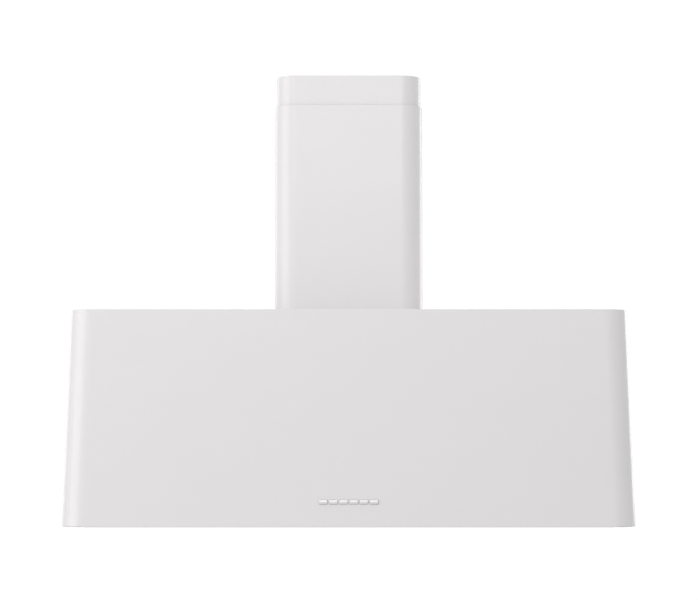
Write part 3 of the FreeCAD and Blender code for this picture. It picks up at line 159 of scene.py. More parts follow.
def bent(points: Sequence[Sequence[float]], radius: float | Sequence[float], steps: int = 5) -> Points:
    """An open path in a plane with each inner corner turned into a tangent arc.

    The arc's centre lies on the corner's bisector, radius / sin(half the angle) away. Between its first and last
    arms it is the blend (first * sin((1 - share) * turn) + last * sin(share * turn)) / sin(turn).

    Args:
        points: the path's corners.
        radius: the arcs' radius, one for all or one for each inner corner.
        steps: turns in each arc.

    Returns:
        The path's points.
    """
    path = np.asarray(points, float)
    radii = np.broadcast_to(radius, len(path) - 2)
    rows = [path[:1]]
    for corner, before, after, bend in zip(path[1:-1], path[:-2], path[2:], radii):
        back = (before - corner) / np.linalg.norm(before - corner)
        ahead = (after - corner) / np.linalg.norm(after - corner)
        half = np.arccos(np.clip(back @ ahead, -1, 1)) / 2
        centre = corner + (back + ahead) / np.linalg.norm(back + ahead) * bend / math.sin(half)
        first = corner + back * bend / math.tan(half) - centre
        last = corner + ahead * bend / math.tan(half) - centre
        share = np.linspace(0, 1, steps + 1)[:, None]
        turn = math.pi - 2 * half
        rows.append(centre + (first * np.sin((1 - share) * turn) + last * np.sin(share * turn)) / math.sin(turn))
    rows.append(path[-1:])
    return np.concatenate(rows)


def beside(path: Points, distance: float) -> Points:
    """The path moved sideways: each point plus distance times the normal between its two neighbours' steps.

    Args:
        path: points in a plane.
        distance: how far to the left of the path's way.

    Returns:
        As many points as the path has.
    """
    step = np.diff(path, axis=0)
    normal = np.column_stack([-step[:, 1], step[:, 0]]) / np.linalg.norm(step, axis=1)[:, None]
    both = np.concatenate([normal[:1], normal[:-1] + normal[1:], normal[-1:]])
    both /= (both * np.concatenate([normal[:1], normal])).sum(1)[:, None]
    both[0], both[-1] = normal[0], normal[-1]
    return path + distance * both


@dataclass(frozen=True)
class Loop:
    """A rounded rectangle in plan: each point is corner * (half - radius) + radius * normal.

    corner holds the signs of the corner centre that a point turns about, or its share along a flat side, and
    normal its outward direction, so that one loop serves every height, inset and lean of the same outline.
    """

    corner: Points
    normal: Points
    side: Points  # 0 to 3 on the flat sides from +X round, and 4 to 7 on the corners between them

    @classmethod
    def make(cls, turns: int = 12, shares: dict[int, Points] | None = None, spans: int = 6) -> "Loop":
        """A loop of flat sides and corners.

        Args:
            turns: steps in each corner.
            shares: places along any side that needs its own, from -1 to 1.
            spans: steps along the other sides.

        Returns:
            The loop.
        """
        corner, normal, side = [], [], []
        for quarter in range(4):
            along = (shares or {}).get(quarter, np.linspace(-1, 1, spans + 1))
            tangent = np.array([-math.sin(quarter * math.pi / 2), math.cos(quarter * math.pi / 2)]).round()
            outward = np.array([math.cos(quarter * math.pi / 2), math.sin(quarter * math.pi / 2)]).round()
            corner.append(outward + np.outer(along, tangent))
            normal.append(np.tile(outward, (len(along), 1)))
            side.append(np.full(len(along), quarter))
            turn = (quarter + np.arange(1, turns) / turns) * math.pi / 2
            corner.append(np.tile(outward + tangent, (turns - 1, 1)))
            normal.append(np.column_stack([np.cos(turn), np.sin(turn)]))
            side.append(np.full(turns - 1, 4 + quarter))
        return cls(np.concatenate(corner), np.concatenate(normal), np.concatenate(side))

    def at(self, half: Sequence[float], radius: float, out: float, z: float) -> Points:
        """The loop's points in space, out of the outline by a distance, at height z."""
        return lifted(self.corner * (np.asarray(half, float) - radius) + (radius + out) * self.normal, z)


# --- Shells: grids of points gathered into a closed mesh ---


@dataclass
class Shell:
    """Grids of points that close up into one mesh."""

    points: list[Points] = field(default_factory=list)
    faces: list[Points] = field(default_factory=list)
    count: int = 0

    def grid(
        self, points: Points, rows: bool = False, columns: bool = False, keep: Points | None = None
    ) -> "Shell":
        """Adds one face between each four neighbouring points.

        Args:
            points: rows by columns by 3.
            rows, columns: True where the last one joins the first.
            keep: a mask of the faces that stay, or None for all.

        Returns:
            The shell itself.
        """
        index = self.count + np.arange(points.shape[0] * points.shape[1]).reshape(points.shape[:2])
        if rows:
            index = np.vstack([index, index[:1]])
        if columns:
            index = np.hstack([index, index[:, :1]])
        quads = np.stack([index[:-1, :-1], index[1:, :-1], index[1:, 1:], index[:-1, 1:]], axis=-1)
        self.faces.append(quads[keep] if keep is not None else quads.reshape(-1, 4))
        self.points.append(points.reshape(-1, 3))
        self.count += points.shape[0] * points.shape[1]
        return self

    def strip(self, first: Points, second: Points, closed: bool = False) -> "Shell":
        """One row of faces between two lines with equally many points."""
        return self.grid(np.stack([first, second]), columns=closed)

    def fan(self, ring: Points) -> "Shell":
        """Closes a ring towards its middle."""
        return self.strip(ring, np.broadcast_to(ring.mean(0), ring.shape), closed=True)

    def mesh(self, name: str) -> bpy.types.Mesh:
        """Welds the grids, turns the faces outwards and marks the edges that stay sharp.

        Args:
            name: the mesh's name.

        Returns:
            The mesh.
        """
        points, faces = np.concatenate(self.points), np.concatenate(self.faces)
        made = bpy.data.meshes.new(name)
        made.vertices.add(len(points))
        made.vertices.foreach_set("co", points.astype(np.float32).ravel())
        made.loops.add(faces.size)
        made.loops.foreach_set("vertex_index", faces.astype(np.int32).ravel())
        made.polygons.add(len(faces))
        made.polygons.foreach_set("loop_start", np.arange(0, faces.size, 4, dtype=np.int32))
        made.update(calc_edges=True)
        work = bmesh.new()
        work.from_mesh(made)
        bmesh.ops.delete(work, geom=[v for v in work.verts if not v.link_faces], context="VERTS")
        bmesh.ops.remove_doubles(work, verts=work.verts, dist=WELD)
        bmesh.ops.recalc_face_normals(work, faces=work.faces)
        work.to_mesh(made)
        work.free()
        made.shade_smooth()
        made.set_sharp_from_angle(angle=SMOOTH_UP_TO)
        return made


def sweep_loop(shell: Shell, loop: Loop, section: Points, half: Sequence[float], radius: float) -> Shell:
    """Carries a closed section round a loop: at each section point (out, z) stands one whole loop."""
    rows = [loop.at(half, radius, out, z) for out, z in section]
    return shell.grid(np.stack(rows), rows=True, columns=True)


def turned(shell: Shell, profile: Points, centre: Sequence[float], axis: int = 2, steps: int = 48) -> Shell:
    """Turns a profile of (radius, height) about an axis: centre + radius * (cos, sin) across, height along.

    Args:
        shell: the shell to add to.
        profile: open where it starts and ends on the axis, and otherwise closed by repeating its first point.
        centre: where the axis and height 0 lie.
        axis: 0, 1 or 2 for X, Y or Z.
        steps: turns in a circle.

    Returns:
        The shell.
    """
    turn = full_turn(steps)
    grid = np.empty((len(profile), steps, 3))
    grid[..., (axis + 1) % 3] = profile[:, :1] * np.cos(turn)
    grid[..., (axis + 2) % 3] = profile[:, :1] * np.sin(turn)
    grid[..., axis] = profile[:, 1:]
    return shell.grid(grid + np.asarray(centre, float), columns=True)


def block(shell: Shell, low: Sequence[float], high: Sequence[float], radius: float, steps: int = 3) -> Shell:
    """A box with rounded edges: each point is its corner's centre plus radius times a direction.

    The directions run over a sphere, eight quarter patches that each stay at their own corner's centre, so the
    flat faces open up between them. The top and bottom are closed by one face each.

    Args:
        shell: the shell to add to.
        low, high: the box's two corners.
        radius: of its edges.
        steps: turns in each edge.

    Returns:
        The shell.
    """
    low, high = np.asarray(low, float), np.asarray(high, float)
    rise = np.radians(joined(np.linspace(-90, 0, steps + 1), np.linspace(0, 90, steps + 1)))[:, None]
    turn = np.radians(joined(*(np.linspace(90 * q, 90 * q + 90, steps + 1) for q in range(4))))
    signs = [np.repeat(row, steps + 1) for row in ((1.0, -1.0, -1.0, 1.0), (1.0, 1.0, -1.0, -1.0), (-1.0, 1.0))]
    sign = np.stack(np.broadcast_arrays(signs[0], signs[1], signs[2][:, None]), axis=-1)
    direction = around(np.cos(rise), turn, np.sin(rise))
    grid = (low + high) / 2 + sign * ((high - low) / 2 - radius) + radius * direction
    shell.grid(grid, columns=True)
    for row in (0, -1):
        corners = grid[row, :: steps + 1]
        shell.strip(corners[[0, 1]], corners[[3, 2]])
    return shell


def folded(shell: Shell, left: Points, right: Points, place, start: float, end: float) -> Shell:
    """A sheet's section carried straight from start to end, with both ends closed.

    Args:
        shell: the shell to add to.
        left, right: the section's two faces, with equally many points.
        place: turns (section points, position along) into points in space.
        start, end: first and last position along.

    Returns:
        The shell.
    """
    around = np.concatenate([left, right[::-1]])
    shell.grid(np.stack([place(around, start), place(around, end)]), columns=True)
    for along in (start, end):
        shell.strip(place(left, along), place(right, along))
    return shell


# --- Node trees ---


class Tree:
    """Short calls for adding and joining the nodes of one tree."""

    def __init__(self, tree: bpy.types.NodeTree) -> None:
        """Starts on an empty tree."""
        self.tree = tree
        tree.nodes.clear()

    def add(self, kind: str, inputs: dict[str | int, Value] | None = None, **settings) -> Node:
        """Adds a node, sets its options, and links or sets its inputs.

        Args:
            kind: the node's type name.
            inputs: a socket to link, or a constant to set, for each input by name or number.
            **settings: the node's own options.

        Returns:
            The node.
        """
        node = self.tree.nodes.new(kind)
        for name, value in settings.items():
            setattr(node, name, value)
        for name, value in (inputs or {}).items():
            if isinstance(value, bpy.types.NodeSocket):
                self.tree.links.new(value, node.inputs[name])
            else:
                node.inputs[name].default_value = value
        return node

    def join(self, value: Socket, node: Node, name: str) -> None:
        """Links a socket to one of a node's inputs."""
        self.tree.links.new(value, node.inputs[name])

    def math(self, operation: str, *values: Value) -> Socket:
        """A calculation on numbers."""
        return self.add("ShaderNodeMath", dict(enumerate(values)), operation=operation).outputs[0]

    def span(self, value: Socket, low: float, high: float, to_low: float = 0.0, to_high: float = 1.0) -> Socket:
        """Value taken from one range into another, and kept inside it."""
        given = {"Value": value, 1: low, 2: high, 3: to_low, 4: to_high}
        return self.add("ShaderNodeMapRange", given).outputs[0]

    def noise(self, where: Socket, scale: Value, detail: float = 2.0, rough: float = 0.5) -> Socket:
        """Smooth noise between 0 and 1."""
        given = {"Vector": where, "Scale": scale, "Detail": detail, "Roughness": rough}
        return self.add("ShaderNodeTexNoise", given).outputs[0]

    def stretch(self, where: Socket, scale: Sequence[float]) -> Socket:
        """Coordinates scaled by different amounts along X, Y and Z."""
        return self.add("ShaderNodeMapping", {"Vector": where, "Scale": scale}).outputs[0]

    def tint(self, share: Socket, first: Sequence[float], second: Sequence[float]) -> Socket:
        """A colour between two others."""
        given = {0: share, 6: (*first, 1.0), 7: (*second, 1.0)}
        return self.add("ShaderNodeMix", given, data_type="RGBA").outputs[2]

    def bump(self, height: Socket, distance: float, strength: float = 1.0) -> Socket:
        """A normal from a height in metres times distance."""
        given = {"Height": height, "Distance": distance, "Strength": strength}
        return self.add("ShaderNodeBump", given).outputs[0]


class Effect(Enum):
    """Surface effects that several finishes share, each a node group built once."""

    ORANGE_PEEL = "orange_peel"
    BRUSHED = "brushed_grain"
    SPANGLE = "zinc_spangle"
    GRAINED = "moulded_grain"
    HANDLED = "handling_marks"


def new_group(
    effect: Effect, inputs: dict[str, float], outputs: Iterable[str]
) -> tuple[Tree, Socket, dict[str, Socket], Node]:
    """Starts a node group.

    Args:
        effect: what it is called.
        inputs: its number inputs with their usual values. It always has a Vector input as well.
        outputs: the names of its number outputs.

    Returns:
        The tree, the Vector socket, the number sockets by name, and the output node.
    """
    group = bpy.data.node_groups.new(effect.value, "ShaderNodeTree")
    face = group.interface
    face.new_socket("Vector", in_out="INPUT", socket_type="NodeSocketVector")
    for name, usual in inputs.items():
        face.new_socket(name, in_out="INPUT", socket_type="NodeSocketFloat").default_value = usual
    for name in outputs:
        face.new_socket(name, in_out="OUTPUT", socket_type="NodeSocketFloat")
    tree = Tree(group)
    given = tree.add("NodeGroupInput").outputs
    return tree, given["Vector"], {name: given[name] for name in inputs}, tree.add("NodeGroupOutput")


def build_orange_peel() -> None:
    """Cured powder: soft dimples of one size over a longer swell, and a faint drift of tone."""
    tree, where, given, out = new_group(Effect.ORANGE_PEEL, {"Scale": 420.0}, ("Height", "Drift"))
    fine = tree.noise(where, given["Scale"], 1.5, 0.4)
    swell = tree.noise(where, 70.0, 1.0)
    drift = tree.noise(where, 3.0, 3.0, 0.55)
    height = tree.math("MULTIPLY_ADD", swell, 1.6, fine)
    tree.join(height, out, "Height")
    tree.join(tree.span(drift, 0.3, 0.7), out, "Drift")


def build_brushed() -> None:
    """Brushed sheet: noise drawn out along the grain, in two widths, with a few deeper strokes."""
    tree, where, given, out = new_group(Effect.BRUSHED, {"Stroke": 1.0}, ("Height", "Tone"))
    fine = tree.noise(where, 900.0, 2.0, 0.6)
    broad = tree.noise(where, 160.0, 2.0, 0.5)
    deep = tree.span(tree.noise(where, 420.0, 0.0), 0.66, 0.8)
    tone = tree.math("MULTIPLY_ADD", broad, 0.6, tree.math("MULTIPLY", fine, 0.4))
    height = tree.math("SUBTRACT", tone, tree.math("MULTIPLY", deep, given["Stroke"]))
    tree.join(height, out, "Height")
    tree.join(tone, out, "Tone")


def build_spangle() -> None:
    """Zinc spangle: cells of crystal, each with its own grey, and a frosting inside each."""
    tree, where, given, out = new_group(Effect.SPANGLE, {"Scale": 110.0}, ("Tone", "Frost"))
    warp = tree.add("ShaderNodeTexNoise", {"Vector": where, "Scale": 160.0, "Detail": 2.0}).outputs[1]
    shifted = tree.add("ShaderNodeVectorMath", {0: warp, 1: (0.5, 0.5, 0.5)}, operation="SUBTRACT").outputs[0]
    small = tree.add("ShaderNodeVectorMath", {0: shifted, "Scale": 0.006}, operation="SCALE").outputs[0]
    moved = tree.add("ShaderNodeVectorMath", {0: where, 1: small}, operation="ADD").outputs[0]
    cells = tree.add("ShaderNodeTexVoronoi", {"Vector": moved, "Scale": given["Scale"]}).outputs["Color"]
    tone = tree.add("ShaderNodeSeparateColor", {0: cells}).outputs[0]
    tree.join(tone, out, "Tone")
    tree.join(tree.noise(where, 1500.0, 2.0), out, "Frost")


def build_grained() -> None:
    """Moulded plastic: the spark-eroded grain of its mould."""
    tree, where, given, out = new_group(Effect.GRAINED, {"Scale": 1400.0}, ("Height", "Tone"))
    grain = tree.noise(where, given["Scale"], 3.0, 0.6)
    tree.join(grain, out, "Height")
    tree.join(tree.noise(where, 14.0, 2.0), out, "Tone")


def build_handled() -> None:
    """Faint wipe marks and dust: long soft patches that dull or clear the gloss."""
    tree, where, _, out = new_group(Effect.HANDLED, {"Amount": 1.0}, ("Wipe", "Dust"))
    long = tree.stretch(where, (2.0, 2.0, 9.0))
    tree.join(tree.span(tree.noise(long, 2.2, 4.0, 0.6), 0.35, 0.72), out, "Wipe")
    specks = tree.add("ShaderNodeTexVoronoi", {"Vector": where, "Scale": 260.0}).outputs["Distance"]
    tree.join(tree.span(specks, 0.05, 0.0), out, "Dust")


EFFECT_BUILDERS = {
    Effect.ORANGE_PEEL: build_orange_peel,
    Effect.BRUSHED: build_brushed,
    Effect.SPANGLE: build_spangle,
    Effect.GRAINED: build_grained,
    Effect.HANDLED: build_handled,
}


def effect_node(tree: Tree, effect: Effect, where: Socket, **values: float) -> dict[str, Socket]:
    """Places an effect's group in a material.

    Args:
        tree: the material's tree.
        effect: which effect.
        where: the coordinates it reads.
        **values: its number inputs.

    Returns:
        Its outputs by name.
    """
    if effect.value not in bpy.data.node_groups:
        EFFECT_BUILDERS[effect]()
    node = tree.add("ShaderNodeGroup", node_tree=bpy.data.node_groups[effect.value])
    tree.join(where, node, "Vector")
    for name, value in values.items():
        node.inputs[name].default_value = value
    return {socket.name: socket for socket in node.outputs}


# --- Finishes ---


class Grain(Enum):
    """Which way a brushed sheet's strokes run, as the scale of its noise along X, Y and Z."""

    ALONG_X = (0.03, 1.0, 1.0)
    ALONG_Y = (1.0, 0.03, 1.0)
    ALONG_Z = (1.0, 1.0, 0.03)


@dataclass(frozen=True)
class Finish:
    """What every finish has: a name, a base colour, and a Principled shader that its nodes feed."""

    name: str
    colour: tuple[float, float, float]
    roughness: float

    def material(self) -> bpy.types.Material:
        """The finish's material, made the first time it is asked for."""
        found = bpy.data.materials.get(self.name)
        if found:
            return found
        made = bpy.data.materials.new(self.name)
        made.use_nodes = True
        tree = Tree(made.node_tree)
        given = {"Base Color": (*self.colour, 1.0), "Roughness": self.roughness}
        shader = tree.add("ShaderNodeBsdfPrincipled", given)
        where = tree.add("ShaderNodeTexCoord").outputs["Object"]
        self.dress(tree, shader, where)
        tree.add("ShaderNodeOutputMaterial", {"Surface": shader.outputs[0]})
        return made

    def dress(self, tree: Tree, shader: Node, where: Socket) -> None:
        """Adds the finish's own nodes."""
        raise NotImplementedError

    def varied(self, tree: Tree, shader: Node, mask: Socket, shade: float, dull: float) -> None:
        """Lets a mask darken the colour by a share and roughen the surface by an amount."""
        dark = tuple(part * (1 - shade) for part in self.colour)
        tree.join(tree.tint(mask, self.colour, dark), shader, "Base Color")
        rough = tree.span(mask, 0.0, 1.0, self.roughness, self.roughness + dull)
        tree.join(rough, shader, "Roughness")


@dataclass(frozen=True)
class PowderCoat(Finish):
    """Gloss powder coat, with its orange peel, a clear skin and the trace of handling."""

    peel: float = 0.00002

    def dress(self, tree: Tree, shader: Node, where: Socket) -> None:
        """Peel as bump, and wiping and drift in the roughness and tone."""
        peel = effect_node(tree, Effect.ORANGE_PEEL, where)
        marks = effect_node(tree, Effect.HANDLED, where)
        mask = tree.math("MULTIPLY_ADD", marks["Wipe"], 0.6, tree.math("MULTIPLY", peel["Drift"], 0.4))
        self.varied(tree, shader, mask, 0.012, 0.05)
        tree.join(tree.bump(peel["Height"], self.peel), shader, "Normal")
        shader.inputs["IOR"].default_value = 1.5
        shader.inputs["Coat Weight"].default_value = 0.35
        shader.inputs["Coat Roughness"].default_value = 0.12


@dataclass(frozen=True)
class BrushedSteel(Finish):
    """Stainless sheet with a brushed grain one way."""

    grain: Grain = Grain.ALONG_X
    depth: float = 0.000012

    def dress(self, tree: Tree, shader: Node, where: Socket) -> None:
        """Strokes in the height, the roughness and the tone."""
        shader.inputs["Metallic"].default_value = 1.0
        grain = effect_node(tree, Effect.BRUSHED, tree.stretch(where, self.grain.value), Stroke=0.5)
        marks = effect_node(tree, Effect.HANDLED, where)
        mask = tree.math("MULTIPLY_ADD", grain["Tone"], 0.7, tree.math("MULTIPLY", marks["Wipe"], 0.3))
        self.varied(tree, shader, mask, 0.14, 0.16)
        tree.join(tree.bump(grain["Height"], self.depth), shader, "Normal")


@dataclass(frozen=True)
class Galvanised(Finish):
    """Hot-dipped sheet with its zinc spangle."""

    def dress(self, tree: Tree, shader: Node, where: Socket) -> None:
        """A grey and a roughness for each crystal, and a fine frosting."""
        shader.inputs["Metallic"].default_value = 1.0
        zinc = effect_node(tree, Effect.SPANGLE, where)
        self.varied(tree, shader, zinc["Tone"], 0.3, 0.18)
        tree.join(tree.bump(zinc["Frost"], 0.00001), shader, "Normal")


@dataclass(frozen=True)
class Plated(Finish):
    """Chrome, zinc plate or turned aluminium: a fine satin over bright metal."""

    scratch: float = 0.05

    def dress(self, tree: Tree, shader: Node, where: Socket) -> None:
        """Satin in the roughness, and a trace of it in the height."""
        shader.inputs["Metallic"].default_value = 1.0
        grain = effect_node(tree, Effect.GRAINED, where, Scale=2200.0)
        self.varied(tree, shader, grain["Height"], 0.06, self.scratch)
        tree.join(tree.bump(grain["Height"], 0.000004), shader, "Normal")


@dataclass(frozen=True)
class Moulded(Finish):
    """Plastic, rubber, foam or paint with the grain of its mould or cast."""

    grain_scale: float = 1400.0
    depth: float = 0.00003
    shade: float = 0.12

    def dress(self, tree: Tree, shader: Node, where: Socket) -> None:
        """Grain as bump, with a slow change of tone and gloss."""
        grain = effect_node(tree, Effect.GRAINED, where, Scale=self.grain_scale)
        mask = tree.math("MULTIPLY_ADD", grain["Tone"], 0.7, tree.math("MULTIPLY", grain["Height"], 0.3))
        self.varied(tree, shader, mask, self.shade, 0.12)
        tree.join(tree.bump(grain["Height"], self.depth), shader, "Normal")


@dataclass(frozen=True)
class Board(Finish):
    """Circuit board: solder mask over copper runs that turn at right angles."""

    def dress(self, tree: Tree, shader: Node, where: Socket) -> None:
        """Copper runs as a lighter, slightly raised band pattern under the mask."""
        runs = tree.add(
            "ShaderNodeTexBrick",
            {"Vector": where, "Scale": 130.0, "Mortar Size": 0.09, "Brick Width": 0.9, "Row Height": 0.35},
        ).outputs["Fac"]
        grain = effect_node(tree, Effect.GRAINED, where)
        light = tuple(min(1.0, part * 1.9 + 0.02) for part in self.colour)
        tree.join(tree.tint(runs, self.colour, light), shader, "Base Color")
        tree.join(tree.span(grain["Tone"], 0.0, 1.0, 0.3, 0.42), shader, "Roughness")
        tree.join(tree.bump(runs, 0.00004), shader, "Normal")


@dataclass(frozen=True)
class FrostedGlass(Finish):
    """Etched lamp glass with a fine pebbled face."""

    def dress(self, tree: Tree, shader: Node, where: Socket) -> None:
        """Pebbling in the height, and etching in the roughness."""
        shader.inputs["Transmission Weight"].default_value = 0.55
        shader.inputs["IOR"].default_value = 1.49
        grain = effect_node(tree, Effect.GRAINED, where, Scale=900.0)
        self.varied(tree, shader, grain["Tone"], 0.03, 0.1)
        tree.join(tree.bump(grain["Height"], 0.00012), shader, "Normal")


WHITE = PowderCoat("gloss_white_coat", (0.806, 0.789, 0.798), 0.32)
STEEL_X = BrushedSteel("brushed_steel_across", (0.62, 0.615, 0.6), 0.24, Grain.ALONG_X)
STEEL_Y = BrushedSteel("brushed_steel_front_to_back", (0.62, 0.615, 0.6), 0.24, Grain.ALONG_Y)
ZINC_SHEET = Galvanised("galvanised_sheet", (0.56, 0.57, 0.58), 0.34)
ZINC_PLATE = Plated("zinc_plated_screws", (0.68, 0.69, 0.67), 0.2)
CHROME = Plated("button_satin_chrome", (0.86, 0.85, 0.855), 0.48)
ALUMINIUM = Plated("spun_aluminium", (0.78, 0.78, 0.79), 0.28, 0.1)
SHAFT_STEEL = Plated("ground_steel", (0.55, 0.55, 0.54), 0.12)
PLASTIC = Moulded("moulded_grey_plastic", (0.085, 0.087, 0.092), 0.42)
RUBBER = Moulded("black_rubber", (0.018, 0.018, 0.018), 0.7, 2200.0, 0.00004)
FOAM = Moulded("closed_cell_foam", (0.12, 0.12, 0.12), 0.85, 700.0, 0.0003, 0.3)
MOTOR_PAINT = Moulded("motor_enamel", (0.035, 0.036, 0.04), 0.38, 500.0, 0.00006)
SHEATH = Moulded("cable_sheath_grey", (0.52, 0.52, 0.51), 0.5, 1800.0, 0.00002, 0.06)
FERRITE = Moulded("sintered_ferrite", (0.04, 0.04, 0.042), 0.6, 900.0, 0.00006, 0.25)
CIRCUIT = Board("green_solder_mask", (0.012, 0.11, 0.045), 0.32)
GLASS = FrostedGlass("frosted_lamp_glass", (0.93, 0.93, 0.9), 0.35)

SLOT_FINISH = {
    "white_powder_coat": WHITE,
    "galvanised_steel": ZINC_SHEET,
    "stainless_steel": STEEL_X,
    "zinc_plated_fasteners": ZINC_PLATE,
    "grey_plastic": PLASTIC,
    "button_chrome": CHROME,
    "black_rubber": RUBBER,
    "grey_foam": FOAM,
    "motor_paint": MOTOR_PAINT,
    "aluminium": ALUMINIUM,
    "frosted_glass": GLASS,
    "circuit_board": CIRCUIT,
    "cable_sheath": SHEATH,
    "magnet_ferrite": FERRITE,
}


def finish_piece(shell: Shell, name: str, node: str, finish: Finish, *more: str) -> bpy.types.Object:
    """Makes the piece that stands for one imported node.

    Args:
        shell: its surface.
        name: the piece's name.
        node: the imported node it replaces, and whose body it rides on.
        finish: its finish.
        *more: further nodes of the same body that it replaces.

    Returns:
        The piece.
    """
    piece = bpy.data.objects.new(name, shell.mesh(name))
    bpy.context.scene.collection.objects.link(piece)
    piece.data.materials.append(finish.material())
    even = piece.modifiers.new("even_normals", "WEIGHTED_NORMAL")
    even.keep_sharp = True
    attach(piece, body_of(node))
    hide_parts(node, *more)
    slot_of(node)
    log.info("%s: %d faces on %s", name, len(piece.data.polygons), body_of(node))
    return piece


# --- Control strip ---


@dataclass
class ControlStrip:
    """The six push buttons, and the slots that they come through."""

    gap: float = 0.3 * MM  # between a cap and its slot
    corner: float = 1.1 * MM  # a slot's corner radius
    margin: float = 2.6 * MM  # from a slot to the upper and lower edge of its cell
    roll: float = 0.35 * MM  # rounding of the pressed edge of a slot
    crown: float = 0.9 * MM  # how much lower a cap's long edges lie than its middle
    proud: float = 2.2 * MM
    flange: float = 0.5 * MM  # how far a cap's hidden flange stands out at its ends
    flange_high: float = 1.5 * MM  # and above and below
    slack: float = 0.03 * MM
    skin: float = 1.6 * MM  # depth of a cap behind the wall's face
    turns: ClassVar[tuple[float, ...]] = (0, 22.5, 45, 45, 67.5)  # of a slot's rim, from each corner on
    count: ClassVar[int] = 6

    def __post_init__(self) -> None:
        """Reads the caps' places and the wall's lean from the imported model."""
        boxes = [Box.of(f"button_{index + 1}") for index in range(self.count)]
        joint = next(j for j in frame["joints"] if j["name"] == "button_1_press")
        inward = np.array(joint["axis"], float)
        self.inward = inward / np.linalg.norm(inward)
        self.upward = np.cross(RIGHT, self.inward)
        self.centres = [box.middle[0] for box in boxes]
        self.pitch = self.centres[1] - self.centres[0]
        self.half_wide = boxes[0].size[0] / 2 - self.flange
        self.half_high = boxes[0].size[2] / 2 - self.flange_high - self.slack
        self.z = boxes[0].middle[2]

    def columns(self) -> Points:
        """X of each grid line across the strip: the cells' edges, and the ends of each slot's flat edge."""
        flat, edge = self.half_wide + self.gap - self.corner, self.pitch / 2
        steps = np.array([-edge, -(flat + edge) / 2, -flat, flat, (flat + edge) / 2])
        return joined(*(x + steps for x in self.centres), [self.centres[-1] + edge])

    def slot_ring(self, x: float, grow: float, depth: float, face: Points) -> Points:
        """One ring round a slot: corner centre plus (radius + grow) times (cos, sin), sunk in by a depth.

        Args:
            x: the slot's centre along X.
            grow: how far the ring stands outside the slot.
            depth: how far it lies behind the wall's face.
            face: the point of the wall's face at the strip's centre.

        Returns:
            Points in the order of the cell's rim, from its lower left corner.
        """
        quarter = np.repeat(np.arange(4), 5)
        turn = np.radians(225 + 90 * quarter + np.tile(self.turns, 4))
        at_corner = (quarter + np.tile([0, 0, 0, 1, 1], 4)) % 4
        half = np.array([self.half_wide + self.gap, self.half_high + self.gap]) - self.corner
        middle = np.array([[-1, -1], [1, -1], [1, 1], [-1, 1]])[at_corner] * half
        plan = middle + (self.corner + grow) * np.column_stack([np.cos(turn), np.sin(turn)])
        return np.outer(plan[:, 0] + x, RIGHT) + face + np.outer(plan[:, 1], self.upward) + depth * self.inward

    def button(self, index: int, face: Points) -> None:
        """One button: a crowned cap, its hidden flange and its stem.

        The cap is a rounded block whose outer face falls away from its middle with the square of the height and
        the eighth power of the length.

        Args:
            index: 0 for the leftmost.
            face: the point of the wall's face at the strip's centre.
        """
        shell, radius = Shell(), 0.55 * MM
        rows, columns = 24, 40
        wide, high = np.meshgrid(*(np.sin(np.linspace(-1, 1, count) * math.pi / 2) for count in (columns, rows)))
        fall = self.crown * (0.75 * high**2 + 0.25 * wide**8)
        edge, side = (
            np.maximum(np.abs(share) - 1 + radius / half, 0) * half / radius
            for share, half in ((wide, self.half_wide), (high, self.half_high))
        )
        rounding = radius * (1 - np.sqrt(np.clip(1 - np.maximum(edge, side) ** 2, 0, 1)))
        out = self.proud - fall - rounding
        middle = face + self.centres[index] * RIGHT
        flat = middle + wide[..., None] * self.half_wide * RIGHT + high[..., None] * self.half_high * self.upward
        front, back = flat - out[..., None] * self.inward, flat + self.skin * self.inward
        shell.grid(front).grid(back)
        for line in np.s_[0], np.s_[-1], np.s_[:, 0], np.s_[:, -1]:
            shell.strip(front[line], back[line])
        self.hidden(shell, index, middle)
        finish_piece(shell, f"push_button_{index + 1}", f"button_{index + 1}", CHROME)

    def hidden(self, shell: Shell, index: int, middle: Points) -> None:
        """The flange that keeps a cap in, and the stem that presses its switch.

        Args:
            shell: the button's shell.
            index: 0 for the leftmost.
            middle: the point of the wall's face at the cap's centre.
        """
        reach = Box.of(f"button_{index + 1}").size[1] - self.proud
        basis, skin, stem = np.stack([RIGHT, self.inward, self.upward]), self.skin, 2.5 * MM
        flange = self.half_wide + self.flange, self.half_high + self.flange_high
        for wide, high, start, end in (*flange, skin - 0.1 * MM, skin + 1.1 * MM), (stem, stem, skin, reach):
            part = block(Shell(), (-wide, start, -high), (wide, end, high), 0.25 * MM, 2)
            for points, faces in zip(part.points, part.faces):
                shell.faces.append(faces + shell.count)
                shell.points.append(points @ basis + middle)
            shell.count += part.count


# --- Canopy ---


